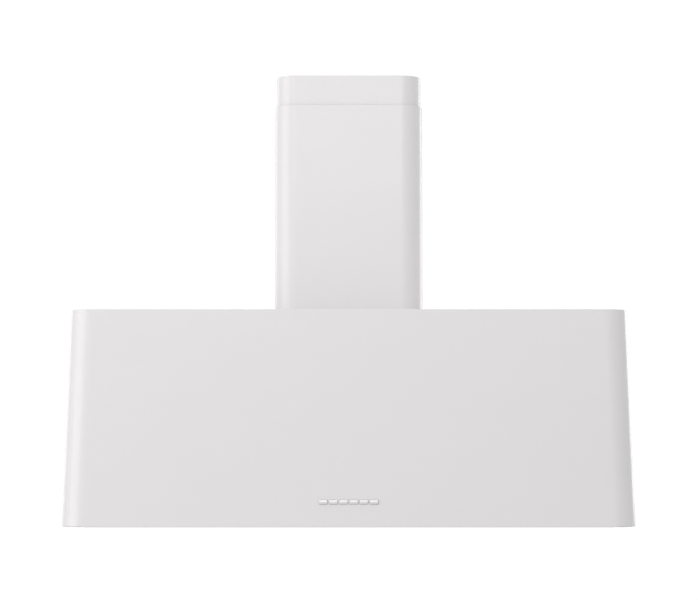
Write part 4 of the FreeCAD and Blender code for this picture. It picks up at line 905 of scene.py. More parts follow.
@dataclass
class Canopy:
    """The leaning walls in one wrapped sheet, folded in under the flat sides and slotted for the buttons."""

    sheet: float = 1.2 * MM
    corner: float = 42 * MM
    relief: float = 1.7 * MM  # the rounded corners stop this far above the folded edge
    flange: float = 18 * MM
    bend: float = 1.5 * MM  # outer radius of the folded edge
    lip: float = 0.5 * MM  # rounding of the walls' top edge
    strip: ControlStrip = field(default_factory=ControlStrip)

    def __post_init__(self) -> None:
        """Reads the walls' box and lean, and lays out the loop's points across the control strip."""
        self.box = Box.of("canopy_skin")
        self.half = self.box.size[:2] / 2
        self.slope = -self.strip.inward[2] / self.strip.inward[1]
        reach = self.half[0] - self.corner
        self.columns = self.strip.columns()
        beyond = np.linspace(self.columns[-1], reach, 7)[1:-1]
        across_front = joined([-reach], -beyond[::-1], self.columns, beyond, [reach])
        self.loop = Loop.make(turns=16, shares={3: across_front / reach}, spans=6)
        self.strip_at = np.flatnonzero(self.loop.side == 3)[6 : 6 + len(self.columns)]

    def half_at(self, z: float) -> Points:
        """Half the width and half the depth over the walls at a height."""
        return self.half - self.slope * (z - self.box.low[2])

    def ring(self, out: float, z: float) -> Points:
        """The walls' outline at one height: taken in by the lean, and out or in by a distance."""
        points = self.loop.at(self.half_at(z), self.corner, out, z)
        points[self.strip_at, 0] = self.columns
        return points

    def walls(self) -> None:
        """Outer and inner face, slots, top edge, folded edge and corner relief, closed into one sheet."""
        strip, low, top = self.strip, self.box.low[2], self.box.high[2]
        slot_high = strip.half_high + strip.gap
        edge, flat = slot_high + strip.margin, slot_high - strip.corner
        cell = strip.z + np.array([-edge, -(flat + edge) / 2, -flat, flat, (flat + edge) / 2, edge])
        above = strip.z + np.array([60, 160, 260, 320]) * MM
        heights = joined([low + self.relief, low + 9 * MM], cell, above, [top - self.lip])
        shell = Shell()
        faces = [np.stack([self.ring(out, z) for z in heights]) for out in (0.0, -self.sheet)]
        outer, inner = faces
        firsts = self.strip_at[0] + 5 * np.arange(strip.count)
        keep = np.ones((len(heights) - 1, len(self.loop.side)), bool)
        for first in firsts:
            keep[2:7, first : first + 5] = False
        for rows in faces:
            shell.grid(rows, columns=True, keep=keep)
        self.top_edge(shell, outer[-1], inner[-1])
        face = np.array([0.0, -self.half_at(strip.z)[1], strip.z])
        for index, (first, x) in enumerate(zip(firsts, strip.centres)):
            self.slot(shell, [rows[2:8, first : first + 6] for rows in faces], x, face)
            strip.button(index, face)
        self.hem(shell, outer[0], inner[0])
        finish_piece(shell, "canopy_walls", "canopy_skin", WHITE)

    def slot(self, shell: Shell, cells: list[Points], x: float, face: Points) -> None:
        """A slot in its cell: rings from the cell's rim to the rolled edge, through the sheet, and out behind.

        Args:
            shell: the walls' shell.
            cells: the cell's points on the outer and on the inner face.
            x: the slot's centre along X.
            face: the point of the wall's face at the strip's centre.
        """
        rims = [joined(cell[0, :-1], cell[:-1, -1], cell[-1, :0:-1], cell[:0:-1, 0]) for cell in cells]
        roll, turns = self.strip.roll, np.radians(np.linspace(0, 90, 4))
        fall, rise = roll * (1 - np.sin(turns)), roll * (1 - np.cos(turns))
        rings = zip(joined(fall, rise), joined(rise, self.sheet - fall))
        rings = [self.strip.slot_ring(x, grow, depth, face) for grow, depth in rings]
        shell.grid(np.stack([rims[0], *rings, rims[1]]), columns=True)

    def top_edge(self, shell: Shell, outer: Points, inner: Points) -> None:
        """Rounds the cut edge at the top: a half turn from the outer face's last ring to the inner one's."""
        turn, lip = np.radians(np.linspace(0, 90, 4)), self.lip
        outs = joined(-lip * (1 - np.cos(turn)), lip * (1 - np.sin(turn)) - self.sheet)
        ups = self.box.high[2] - lip + joined(lip * np.sin(turn), lip * np.cos(turn))
        shell.grid(np.stack([outer, *(self.ring(out, z) for out, z in zip(outs, ups)), inner]), columns=True)

    def hem(self, shell: Shell, outer: Points, inner: Points) -> None:
        """Folds the flat walls in under the canopy, and closes the walls' lower edge round the corners.

        Args:
            shell: the walls' shell.
            outer, inner: the lowest ring of each face.
        """
        low, bend, sheet = self.box.low[2], self.bend, self.sheet
        centre = (-bend, low + bend)
        tip = arc((-self.flange + sheet / 2, low + sheet / 2), sheet / 2, 270, 90, 6)
        inside = joined(arc(centre, bend - sheet, 0, -90, 5), tip[:2:-1])
        section = joined(arc(centre, bend, 0, -90, 5), tip[:4], inside[::-1])
        fold = np.stack([outer, *(self.ring(out, z) for out, z in section), inner])
        half = len(fold) // 2
        for side in range(4):
            grid = fold[:, self.loop.side == side]
            shell.grid(grid)
            for end in (0, -1):
                shell.strip(grid[:half, end], grid[: half - 1 : -1, end])
            at = np.flatnonzero(self.loop.side == 4 + side)
            corner = np.concatenate([[at[0] - 1], at, [(at[-1] + 1) % len(self.loop.side)]])
            shell.strip(outer[corner], inner[corner])


# --- Chimney ---


@dataclass
class Chimney:
    """The two square covers that telescope between the ceiling and the canopy."""

    sheet: float = 1.0 * MM
    lower_corner: float = 40 * MM
    upper_corner: float = 37 * MM
    edge: float = 0.4 * MM  # rounding of the cut edges
    seam_wide: float = 0.5 * MM
    seam_deep: float = 0.3 * MM

    def cover(self, name: str, node: str, corner: float) -> None:
        """One cover: a sheet's section with rounded edges carried round the loop.

        A narrow groove down the middle of the rear is the joint where the wrapped sheet meets itself: there the
        outer face lies deeper by the seam's depth.

        Args:
            name: the piece's name.
            node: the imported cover.
            corner: its outer corner radius.
        """
        box = Box.of(node)
        edge, sheet = self.edge, self.sheet
        low, high = box.low[2], box.high[2]
        heights = np.linspace(low + edge, high - edge, 12)
        section = joined(
            np.column_stack([np.zeros(12), heights]),
            arc((-edge, high - edge), edge, 0, 90, 3)[1:],
            arc((edge - sheet, high - edge), edge, 90, 180, 3),
            np.column_stack([np.full(12, -sheet), heights[::-1]])[1:],
            arc((edge - sheet, low + edge), edge, 180, 270, 3)[1:],
            arc((-edge, low + edge), edge, 270, 360, 3)[:-1],
        )
        reach = box.size[0] / 2 - corner
        wide = self.seam_wide
        rear = np.array([-reach, -reach / 2, -wide, -wide / 2, wide / 2, wide, reach / 2, reach]) / reach
        loop = Loop.make(turns=14, shares={1: rear}, spans=4)
        half = box.size[:2] / 2
        rows = np.stack([loop.at(half, corner, out, z) for out, z in section])
        at = np.flatnonzero(loop.side == 1)[3:5]
        rows[:12, at, 1] -= self.seam_deep
        finish_piece(Shell().grid(rows, rows=True, columns=True), name, node, WHITE)

    def build(self) -> None:
        """Both covers."""
        self.cover("lower_cover_sleeve", "lower_chimney", self.lower_corner)
        self.cover("upper_cover_sleeve", "upper_chimney", self.upper_corner)


# --- Screws and nuts ---


def across(axis: Sequence[float]) -> Points:
    """Three directions at right angles, as rows, of which the last is the axis."""
    along = np.asarray(axis, float) / np.linalg.norm(axis)
    spare = np.eye(3)[int(np.argmin(np.abs(along)))]
    first = np.cross(spare, along)
    first /= np.linalg.norm(first)
    return np.stack([first, np.cross(along, first), along])


@dataclass(frozen=True)
class Screw:
    """A pan-headed screw with a cross recess and a threaded shank."""

    shank: float
    length: float
    head: float
    height: float
    pitch: float = 0.8 * MM

    def add(self, shell: Shell, seat: Sequence[float], axis: Sequence[float]) -> None:
        """Adds the screw, with its head's underside on seat and its shank along axis.

        The head is a height over a disc: a flattened dome, height * (1 - 0.75 * share^4), less a cross whose
        depth fades towards its ends. The shank's radius swings by the thread's depth with the height, in rings.

        Args:
            shell: the shell to add to.
            seat: where the head's underside lies.
            axis: which way the shank points.
        """
        share, turn = joined(np.linspace(0, 0.55, 8), np.linspace(0.65, 1.0, 6))[:, None], full_turn(40)
        x, y = share * self.head * np.cos(turn), share * self.head * np.sin(turn)
        arm, reach = self.head * 0.13, self.head * 0.56
        near, far = np.minimum(np.abs(x), np.abs(y)), np.maximum(np.abs(x), np.abs(y))
        cross = np.clip((arm - near) / (arm * 0.5), 0, 1) * np.clip((reach - far) / (reach * 0.35), 0, 1)
        top = self.height * (1 - 0.75 * share**4) - 0.6 * self.height * cross
        core = self.shank - 0.3 * MM
        along = np.arange(0, self.length - self.shank, self.pitch / 2)
        thread = np.where(np.arange(len(along)) % 2 == 0, self.shank, core)
        profile = [(self.head, 0.0), *zip(thread, along), (core * 0.5, self.length), (0.0, self.length)]
        rows = [np.stack([x, y, -top], axis=-1), *(around(out, turn, z)[None] for out, z in profile)]
        shell.grid(np.concatenate(rows) @ across(axis) + np.asarray(seat, float), columns=True)


def add_nut(
    shell: Shell, seat: Sequence[float], axis: Sequence[float], bore: float, half: float, high: float
) -> None:
    """A hexagon nut: its outer radius is half / cos(angle from the nearest flat), and both ends are coned.

    Args:
        shell: the shell to add to.
        seat, axis: where the nut's face lies, and which way the nut goes from there.
        bore, half, high: its bore's radius, its radius over the corners, and its height.
    """
    turn = full_turn(48)
    flat = half * math.cos(math.pi / 6) / np.cos((turn + math.pi / 6) % (math.pi / 3) - math.pi / 6)
    cone = np.minimum(flat, half * 0.9)
    rings = [(bore, 0.0), (cone, 0.0), (flat, high * 0.12), (flat, high * 0.88), (cone, high), (bore, high)]
    grid = np.stack([around(radius, turn, z) for radius, z in rings])
    shell.grid(grid @ across(axis) + np.asarray(seat, float), rows=True, columns=True)


@dataclass
class Fasteners:
    """Every screw and nut that holds the hood together."""

    cover_spread: float = 45 * MM
    base_spread: float = 50 * MM
    blower_x: float = 86 * MM
    blower_y: float = 60 * MM
    grip: float = 4.5 * MM  # from a clamp screw's seat to its nut
    bore: float = 2.55 * MM
    nut_half: float = 4.6 * MM
    nut_high: float = 4 * MM

    def add_set(self, name: str, node: str, kind: Screw, places: list, grip: float | None = None) -> None:
        """Screws of one kind as one piece.

        Args:
            name: the piece's name.
            node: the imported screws.
            kind: what each screw is like.
            places: each screw's seat and axis.
            grip: from a screw's seat to its nut, or None where it has none.
        """
        shell = Shell()
        for seat, axis in places:
            kind.add(shell, seat, axis)
            if grip:
                nut = np.add(seat, np.multiply(axis, grip))
                add_nut(shell, nut, axis, self.bore, self.nut_half, self.nut_high)
        finish_piece(shell, name, node, ZINC_PLATE)

    def build(self) -> None:
        """The upper cover's low heads, the frame's clamps, and the base ring's, blower's and panel's screws."""
        cover, heads = Box.of("upper_chimney").high[0], Box.of("upper_chimney_screws").middle[2]
        places = [((sx * cover, sy * self.cover_spread, heads), (-sx, 0, 0)) for sx, sy in CORNERS]
        kind = Screw(1.9 * MM, 6 * MM, 3.5 * MM, 1.3 * MM)
        self.add_set("cover_screws", "upper_chimney_screws", kind, places)

        clamps, out = Box.of("frame_clamp_screws"), Box.of("lower_angles").high[0] + 0.2 * MM
        middle = Box.of("upper_angles").high[0] - 2 * MM - 11.5 * MM
        high, low = clamps.high[2] - HEAD, clamps.low[2] + HEAD
        places = [((sx * out, sy * middle, high), (-sx, 0, 0)) for sx, sy in CORNERS]
        places += [((sx * middle, sy * out, low), (0, -sy, 0)) for sx, sy in CORNERS]
        kind = Screw(2.5 * MM, self.grip + 5 * MM, HEAD, 3 * MM)
        self.add_set("frame_clamp_bolts", "frame_clamp_screws", kind, places, self.grip)

        middle, seat = Box.of("frame_base_screws").high[0] - HEAD, Box.of("frame_base").high[2]
        places = [((sx * middle, sy * self.base_spread, seat), DOWN) for sx, sy in CORNERS]
        places += [((sy * self.base_spread, sx * middle, seat), DOWN) for sx, sy in CORNERS]
        self.add_set("base_ring_screws", "frame_base_screws", Screw(2.5 * MM, 9.5 * MM, HEAD, 3 * MM), places)

        top, under = Box.of("canopy_top_plate").high[2], Box.of("rubber_mounts").low[2] - 2 * MM
        places = [((sx * self.blower_x, sy * self.blower_y, top), DOWN) for sx, sy in CORNERS]
        kind = Screw(2.5 * MM, top - under + 6 * MM, HEAD, 3 * MM)
        self.add_set("blower_bolts", "blower_screws", kind, places, top - under)

        heads, quarter = Box.of("pan_screws"), Box.of("canopy_skin").size[1] / 4
        out, pitch = heads.high - 4 * MM, Box.of("filter_frame_right").middle[0]
        seat = heads.low[2] + 1.8 * MM
        places = [((sx * pitch / 2, sy * out[1], seat), UP) for sx, sy in CORNERS]
        places += [((sx * out[0], sy * quarter, seat), UP) for sx, sy in CORNERS]
        self.add_set("underside_screws", "pan_screws", Screw(2 * MM, 5.5 * MM, 4 * MM, 1.8 * MM), places)


# --- Mounting frame ---


def strap(sheet: float, low: float, high: float) -> Points:
    """Section of a belt of sheet on edge: two half circles, one at the top and one at the bottom."""
    half = sheet / 2
    return joined(arc((-half, high - half), half, 0, 180, 6), arc((-half, low + half), half, 180, 360, 6))


@dataclass
class MountingFrame:
    """The telescopic frame: folded angles with their slots, two belts, and the base ring."""

    leg: float = 25 * MM
    sheet: float = 2 * MM
    bend: float = 3 * MM
    hole: float = 2.7 * MM
    slot: float = 3.2 * MM
    slot_up: float = 251 * MM
    slot_down: float = 41 * MM
    belt: float = 1.5 * MM
    opening: float = 100 * MM
    edge: float = 0.5 * MM
    hole_corner: float = 8 * MM
    ring_corner: float = 36.7 * MM

    def build(self) -> None:
        """Both sets of angles, the belts and the ring."""
        screws = Box.of("frame_clamp_screws")
        levels = np.array([screws.high[2] - HEAD, screws.low[2] + HEAD])
        self.angles("upper_angles", "hanging_angles", self.hole, levels, levels)
        self.angles("lower_angles", "slotted_angles", self.slot, levels - self.slot_down, levels + self.slot_up)
        for node, name, radius in (("upper_tie_frame", "inner_belt", 2), ("lower_tie_frame", "outer_belt", 4)):
            box = Box.of(node)
            section = strap(self.belt, box.low[2], box.high[2])
            shell = sweep_loop(Shell(), Loop.make(turns=6), section, box.high[:2], radius * MM)
            finish_piece(shell, name, node, ZINC_SHEET)
        self.base_ring()

    def angles(self, node: str, name: str, radius: float, starts: Points, ends: Points) -> None:
        """Four uprights of folded sheet, with a round-ended opening in each leg.

        The opening's half width at a height is sqrt(radius^2 - distance^2), where distance is how far the height
        lies outside the span between the end circles' centres. Where it is zero its two edges are one line.

        Args:
            node: the node they stand for.
            name: the piece's name.
            radius: half the opening's width.
            starts, ends: heights of the end circles' centres in the leg along Y and in the leg along X.
        """
        box = Box.of(node)
        outer = box.high[0]
        middle = outer - (Box.of("upper_angles").high[0] - self.sheet - (self.leg - self.sheet) / 2)
        quarter = np.sin(np.radians(np.linspace(0, 90, 7))) * radius
        rounds = [a - quarter for a in starts] + [b + quarter for b in ends]
        z = np.unique(joined(box.low[2:], box.high[2:], *rounds))
        shell = Shell()
        wide = [np.sqrt(np.maximum(radius**2 - (z - np.clip(z, a, b)) ** 2, 0)) for a, b in zip(starts, ends)]
        wide = [np.where(w > WELD, w, 0) for w in wide]
        full, at_bend = np.full(len(z), self.leg), np.full(len(z), self.bend)
        legs = [np.stack([full, middle + w, middle - w, at_bend], axis=1) for w in wide]
        sides = []
        for depth in (0.0, self.sheet):
            level = np.full(legs[0].shape, outer - depth)
            along_y = np.stack([level, outer - legs[0]], axis=-1)
            along_x = np.stack([outer - legs[1], level], axis=-1)[:, ::-1]
            turn = arc((outer - self.bend, outer - self.bend), self.bend - depth, 0, 90, 5)[1:-1]
            turn = np.broadcast_to(turn, (len(z), *turn.shape))
            plan = np.concatenate([along_y, turn, along_x], axis=1)
            level = np.broadcast_to(z[:, None, None], (*plan.shape[:2], 1))
            sides.append(np.concatenate([plan, level], axis=-1))
        keep = np.ones((len(z) - 1, sides[0].shape[1] - 1), bool)
        keep[:, [1, -2]] = False
        for sx, sy in CORNERS:
            out, back = (side * np.array([sx, sy, 1.0]) for side in sides)
            shell.grid(out, keep=keep).grid(back, keep=keep)
            for row in (0, -1):
                shell.strip(out[row], back[row]).strip(out[:, row], back[:, row])
            for columns, w in (((1, 2), wide[0]), ((-2, -3), wide[1])):
                open_rows = np.flatnonzero(w > 0)
                rows = slice(open_rows[0] - 1, open_rows[-1] + 2)
                for column in columns:
                    shell.strip(out[rows, column], back[rows, column])
        finish_piece(shell, name, node, ZINC_SHEET)

    def base_ring(self) -> None:
        """Ring plate: loops from the opening's outline over the rounded outer edge and back."""
        box, edge = Box.of("frame_base"), self.edge
        loop = Loop.make(turns=8)
        low, high, half = box.low[2], box.high[2], box.high[:2]
        hole, corner = np.full(2, self.opening), self.hole_corner
        rows = [loop.at(hole, corner, 0.0, low + edge), loop.at(hole, corner, edge, low)]
        for centre, start in ((low + edge, -90), (high - edge, 0)):
            section = arc((-edge, centre), edge, start, start + 90, 3)
            rows += [loop.at(half, self.ring_corner, out, z) for out, z in section]
        rows += [loop.at(hole, corner, edge, high), loop.at(hole, corner, 0.0, high - edge)]
        shell = Shell().grid(np.stack(rows), rows=True, columns=True)
        finish_piece(shell, "base_ring", "frame_base", ZINC_SHEET)


@dataclass
class Catches:
    """Magnets that hold the filters up, and the folded brackets that carry them."""

    sheet: float = 1.5 * MM
    foot: float = 18 * MM
    bend: float = 2.2 * MM
    half_bracket: float = 18 * MM
    half_magnet: float = 15 * MM

    def build(self) -> None:
        """Three of each, one over each filter's front edge."""
        box, magnet = Box.of("magnet_brackets"), Box.of("filter_magnets")
        half = self.sheet / 2
        stand = box.low[1] + self.foot - half
        path = [(box.low[1], box.low[2] + half), (stand, box.low[2] + half)]
        path = bent(path + [(stand, box.high[2] - half), (box.high[1], box.high[2] - half)], self.bend, 5)
        brackets, magnets = Shell(), Shell()
        for side in BAYS:
            x = Box.of(f"filter_frame_{side}").middle[0]
            left, right = beside(path, half), beside(path, -half)
            folded(brackets, left, right, at_x, x - self.half_bracket, x + self.half_bracket)
            low, high = (x - self.half_magnet, *magnet.low[1:]), (x + self.half_magnet, *magnet.high[1:])
            block(magnets, low, high, 0.8 * MM)
        finish_piece(brackets, "catch_brackets", "magnet_brackets", ZINC_SHEET)
        finish_piece(magnets, "catch_magnets", "filter_magnets", FERRITE)


# --- Pierced panels ---


def circle(radius: float, steps: int = 24) -> Points:
    """A closed ring of points: radius times (cos, sin)."""
    return arc((0, 0), radius, 0, 360, steps)[:-1]


def zipped(outer: Points, inner: Points) -> tuple[Points, Points]:
    """Two rings round one middle, paired up so that a strip between them closes, whatever their numbers.

    Both rings are sorted by angle. Going round all angles of both, each pair is the last point passed on either
    ring, so that at every step one of the two moves on and leaves a triangle.

    Args:
        outer, inner: points of each ring, seen from their common middle.

    Returns:
        Index of the outer and of the inner ring's point at each step.
    """
    bearings = [np.arctan2(ring[:, 1], ring[:, 0]) for ring in (outer, inner)]
    orders = [np.argsort(bearing, kind="stable") for bearing in bearings]
    steps = np.sort(joined(*bearings))
    outer_at, inner_at = (
        order[np.searchsorted(np.sort(bearing), steps, side="right") - 1] for bearing, order in zip(bearings, orders)
    )
    return outer_at, inner_at


@dataclass
class Panel:
    """A sheet with rounded corners, round holes, rectangular bays, and an edge turned down all round."""

    node: str
    radius: float
    sheet: float
    holes: list[tuple[float, float, float, float]]  # middle X and Y, radius, and half of the square round it
    bays: list[tuple[float, float, float, float]]  # X and Y of two corners
    flat_skirt: float  # how low the turned edge reaches along the straight sides
    edge: float = 0.3 * MM

    def build(self, name: str, finish: Finish) -> None:
        """Upper and lower face, the edge between them, and the walls of every opening.

        Args:
            name: the piece's name.
            finish: its finish.
        """
        box = Box.of(self.node)
        self.half, self.top = box.high[:2], box.high[2]
        under, corner_skirt = self.top - self.sheet, min(box.low[2], self.top - 2 * self.sheet)
        shell = Shell()
        loop = self.face(shell, self.top, self.edge)
        self.face(shell, under, self.sheet)
        level = np.where(loop.side < 4, self.flat_skirt, corner_skirt)
        bend = arc((-self.edge, self.top - self.edge), self.edge, 90, 0, 3)
        rows = [loop.at(self.half, self.radius, out, z) for out, z in bend]
        rows += [loop.at(self.half, self.radius, out, level) for out in (0.0, -self.sheet)]
        rows.append(loop.at(self.half, self.radius, -self.sheet, under))
        shell.grid(np.stack(rows), columns=True)
        heights = np.array([self.top, under])
        for x, y, radius, _ in self.holes:
            shell.grid(np.stack([lifted(circle(radius) + (x, y), z) for z in heights]), columns=True)
        for x0, x1, y0, y1 in self.bays:
            sides = [(x, (y0, y1), 0) for x in (x0, x1)] + [(y, (x0, x1), 1) for y in (y0, y1)]
            for fixed, ends, axis in sides:
                lines = self.lines[1 - axis]
                along = lines[(lines > ends[0] - WELD) & (lines < ends[1] + WELD)]
                wall = np.empty((2, len(along), 3))
                wall[..., axis], wall[..., 1 - axis], wall[..., 2] = fixed, along, heights[:, None]
                shell.grid(wall)
        finish_piece(shell, name, self.node, finish)

    def face(self, shell: Shell, z: float, inset: float) -> Loop:
        """One face: a grid whose lines pass every opening's sides, less its openings and its four corners.

        Round holes are filled out to their squares, and the corners' quarter discs from a point inside them.

        Args:
            shell: the shell to add to.
            z: the face's height.
            inset: how far its outline lies inside the panel's.

        Returns:
            The loop of the outline, with a point wherever a line meets it.
        """
        half, flat = self.half - inset, self.half - self.radius
        squares = [(x - reach, x + reach, y - reach, y + reach) for x, y, _, reach in self.holes]
        openings = np.array(squares + self.bays)
        marks = openings[:, :2].ravel(), openings[:, 2:].ravel()
        lines = [np.unique(np.round([*m, -end, end, -turn, turn], 7)) for m, end, turn in zip(marks, half, flat)]
        self.lines = lines
        x, y = np.meshgrid(*lines, indexing="ij")
        middle_x, middle_y = (x[:-1, :-1] + x[1:, 1:]) / 2, (y[:-1, :-1] + y[1:, 1:]) / 2
        keep = (np.abs(middle_x) < flat[0]) | (np.abs(middle_y) < flat[1])
        for x0, x1, y0, y1 in openings:
            keep &= ~((middle_x > x0) & (middle_x < x1) & (middle_y > y0) & (middle_y < y1))
        shell.grid(np.stack([x, y, np.full(x.shape, z)], axis=-1), keep=keep)
        plan = np.stack([x, y], axis=-1).reshape(-1, 2)
        for cx, cy, radius, reach in self.holes:
            away = np.abs(plan - (cx, cy)).max(axis=1)
            square, ring = plan[np.abs(away - reach) < WELD] - (cx, cy), circle(radius)
            outer, inner = zipped(square, ring)
            rim, hole = square[outer] + (cx, cy), ring[inner] + (cx, cy)
            shell.strip(lifted(rim, z), lifted(hole, z), closed=True)
        shares = [lines[1] / flat[1], -lines[0][::-1] / flat[0], -lines[1][::-1] / flat[1], lines[0] / flat[0]]
        shares = {side: share[np.abs(share) < 1 + WELD] for side, share in enumerate(shares)}
        loop = Loop.make(turns=12, shares=shares)
        turn = arc((0, 0), self.radius - inset, 0, 90, 12)
        beyond = [line[line > end - WELD] - end for line, end in zip(lines, flat)]
        sides = [np.column_stack([beyond[0], 0 * beyond[0]]), np.column_stack([0 * beyond[1], beyond[1]])[::-1]]
        ring = joined(sides[0][:-1], turn, sides[1][1:-1])
        for signs in CORNERS:
            shell.fan(lifted((ring + flat) * signs, z))
        return loop


@dataclass
class Panels:
    """The canopy's top and its underside panel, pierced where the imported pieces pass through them."""

    screw: tuple[float, float] = (2.7 * MM, 3.6 * MM)  # a screw hole's radius, and half the square round it
    spread: float = 50 * MM
    gap: float = 1 * MM  # round each filter

    def build(self) -> None:
        """Both panels."""
        self.top()
        self.underside()

    def top(self) -> None:
        """The top, with the outlet, the cable's way in, and the screws of the base ring and the blower."""
        grommet, blower = Box.of("cable_grommet"), Box.of("blower_screws")
        middle, spread = Box.of("frame_base_screws").high[0] - HEAD, self.spread
        holes = [(0.0, 0.0, 73.5 * MM, 77 * MM), (*grommet.middle[:2], 8 * MM, 9.5 * MM)]
        for sx, sy in CORNERS:
            holes += [(sx * middle, sy * spread, *self.screw), (sy * spread, sx * middle, *self.screw)]
        reach = blower.high[:2] - 4.6 * MM
        holes += [(sx * reach[0], sy * reach[1], *self.screw) for sx, sy in CORNERS]
        skirt = Box.of("canopy_top_plate").low[2]
        Panel("canopy_top_plate", 40.8 * MM, 1.5 * MM, holes, [], skirt).build("canopy_top", WHITE)

    def underside(self) -> None:
        """The underside panel, with the lamps and the three filter bays."""
        lamp, gap = Box.of("lamp_rings").high[:2] - 34 * MM, self.gap
        holes = [(sx * lamp[0], sy * lamp[1], 30.5 * MM, 31.5 * MM) for sx, sy in CORNERS]
        bays = []
        for side in BAYS:
            bay = Box.of(f"filter_frame_{side}")
            front = bay.low[1] - gap
            bays.append((bay.low[0] - gap, bay.high[0] + gap, front, -front))
        skirt = Box.of("canopy_skin").low[2] + 1.2 * MM
        Panel("bottom_pan", 40.5 * MM, 1.0 * MM, holes, bays, skirt).build("underside_panel", WHITE)


# --- Grease filters ---


@dataclass
class GreaseFilter:
    """One grease filter: a folded frame round two layers of channels."""

    side: str
    sheet: float = 1.0 * MM
    frame: float = 14 * MM
    front: float = 30 * MM
    corner: float = 3 * MM
    fold: float = 1.6 * MM
    bead: float = 0.7 * MM  # depth of the pressed stiffening groove
    tab_spread: float = 90 * MM
    tab_width: float = 30 * MM
    hinge_bead: float = 0.7 * MM
    pull_half: float = 20 * MM
    pull_inset: float = 14 * MM
    channels: int = 10
    channel_width: float = 16 * MM
    channel_height: float = 4 * MM
    channel_sheet: float = 0.8 * MM
    rail: float = 3 * MM

    def __post_init__(self) -> None:
        """Reads the frame's box and finds its tray inside the tabs and the pull."""
        self.node = f"filter_frame_{self.side}"
        box, channels = Box.of(self.node), Box.of(f"filter_baffles_{self.side}")
        self.x = box.middle[0]
        self.half_x = box.size[0] / 2
        self.low = channels.low[2] - self.sheet
        self.top = channels.high[2] + 0.5 * MM
        self.y0 = box.low[1]
        self.y1 = channels.high[1] - self.rail + self.frame
        self.box = box

    def build(self) -> None:
        """Frame and channels."""
        shell = Shell()
        self.tray(shell)
        self.tabs(shell)
        self.grip(shell)
        finish_piece(shell, f"grease_filter_frame_{self.side}", self.node, STEEL_X)
        self.baffles()

    def tray(self, shell: Shell) -> None:
        """The frame: rings from the window's edge over the grooved flange, up the folded side, and back inside.

        A ring's share is 0 on the window's outline and 1 on the frame's.

        Args:
            shell: the frame's shell.
        """
        low, top, sheet, fold = self.low, self.top, self.sheet, self.fold
        loop = Loop.make(turns=6, spans=8)
        frame_half, frame_y = np.array([self.half_x, (self.y1 - self.y0) / 2]), (self.y0 + self.y1) / 2
        window_half = np.array([self.half_x - self.frame, (self.y1 - self.frame - self.y0 - self.front) / 2])
        window_y = (self.y0 + self.front + self.y1 - self.frame) / 2
        groove = ((0.0, 0.0), (0.3, 0.0), (0.4, self.bead), (0.6, self.bead), (0.7, 0.0))
        wall = joined(
            arc((-fold, low + fold), fold, -90, 0, 5),
            arc((-sheet / 2, top - sheet / 2), sheet / 2, 0, 180, 6),
            arc((-fold, low + fold), fold - sheet, 0, -90, 5),
        )
        rings = [(share, 0.0, low + up) for share, up in groove] + [(1.0, out, z) for out, z in wall]
        rings += [(share, 0.0, low + sheet + up) for share, up in groove[::-1]]
        rows = []
        for share, out, z in rings:
            half = window_half + (frame_half - fold - window_half) * share if share < 1 else frame_half
            shift = (self.x, window_y + (frame_y - window_y) * share, 0.0)
            rows.append(loop.at(half, self.corner, out, z) + shift)
        shell.grid(np.stack(rows), rows=True, columns=True)

    def tabs(self, shell: Shell) -> None:
        """Two rear tabs with a rounded end, and the bead that each one rocks on."""
        edge_z, bead, wide = Box.of("bottom_pan").high[2], self.hinge_bead, self.tab_width
        low = edge_z + 0.3 * MM
        for spread in (-self.tab_spread, self.tab_spread):
            start, end = self.x + spread - wide / 2, self.x + spread + wide / 2
            corner = (end, self.box.high[1], low + 1.2 * MM)
            block(shell, (start, self.y1 - self.sheet, low), corner, 0.35 * MM, 2)
            rod = np.array([(0, 0), (bead, 0), (bead, end - start), (0, end - start)])
            turned(shell, rod, (start, self.y1 + self.sheet, edge_z), axis=0, steps=16)

    def grip(self, shell: Shell) -> None:
        """The strike lip over the front wall, and the finger pull: a strip hung down and curled back."""
        sheet, half, curl = self.sheet, self.sheet * 0.45, 1.0 * MM
        start, end = self.x - self.pull_half, self.x + self.pull_half
        lip_y = self.y0 + sheet + 10 * MM
        block(shell, (start, self.y0 + 0.1 * MM, self.top - sheet), (end, lip_y, self.top), 0.3 * MM, 2)
        pull_y, drop = self.y0 + self.pull_inset, self.box.low[2] + curl
        hook = arc((pull_y + curl, drop), curl - sheet * 0.5, 180, 380, 9)
        middle = joined([(pull_y + sheet * 0.5, self.low + sheet * 0.6)], hook)
        folded(shell, beside(middle, half), beside(middle, -half), at_x, start, end)

    def baffles(self) -> None:
        """Two layers of folded channels between end rails: the upper ones cover the gaps of the lower ones."""
        node = f"filter_baffles_{self.side}"
        box = Box.of(node)
        low, high = box.low[2], box.high[2]
        y0, y1 = box.low[1] + self.rail, box.high[1] - self.rail
        half_x = self.half_x - self.frame
        sheet, wide, tall = self.channel_sheet, self.channel_width, self.channel_height
        shell = Shell()
        for rail_y in (box.low[1], y1):
            block(shell, (box.low[0], rail_y, low), (box.high[0], rail_y + self.rail, high), 0.5 * MM, 2)
        pitch, tip, half = 2 * half_x / self.channels, tall - 0.1 * MM, wide / 2 - sheet / 2
        section = bent([(-half, tip), (-half, sheet / 2), (half, sheet / 2), (half, tip)], 1.3 * MM, 5)
        left, right = beside(section, sheet / 2), beside(section, -sheet / 2)
        for index in range(2 * self.channels - 1):
            upper = index % 2 == 1
            x = self.x - half_x + (index + 1) * pitch / 2

            def place(points: Points, along: float, x: float = x, upper: bool = upper) -> Points:
                """A section in X and Z at one Y, turned over for the upper layer."""
                z = high - points[:, 1] if upper else low + points[:, 1]
                return np.column_stack([points[:, 0] + x, np.full(len(points), along), z])

            folded(shell, left, right, place, y0, y1)
        finish_piece(shell, f"grease_filter_channels_{self.side}", node, STEEL_Y)


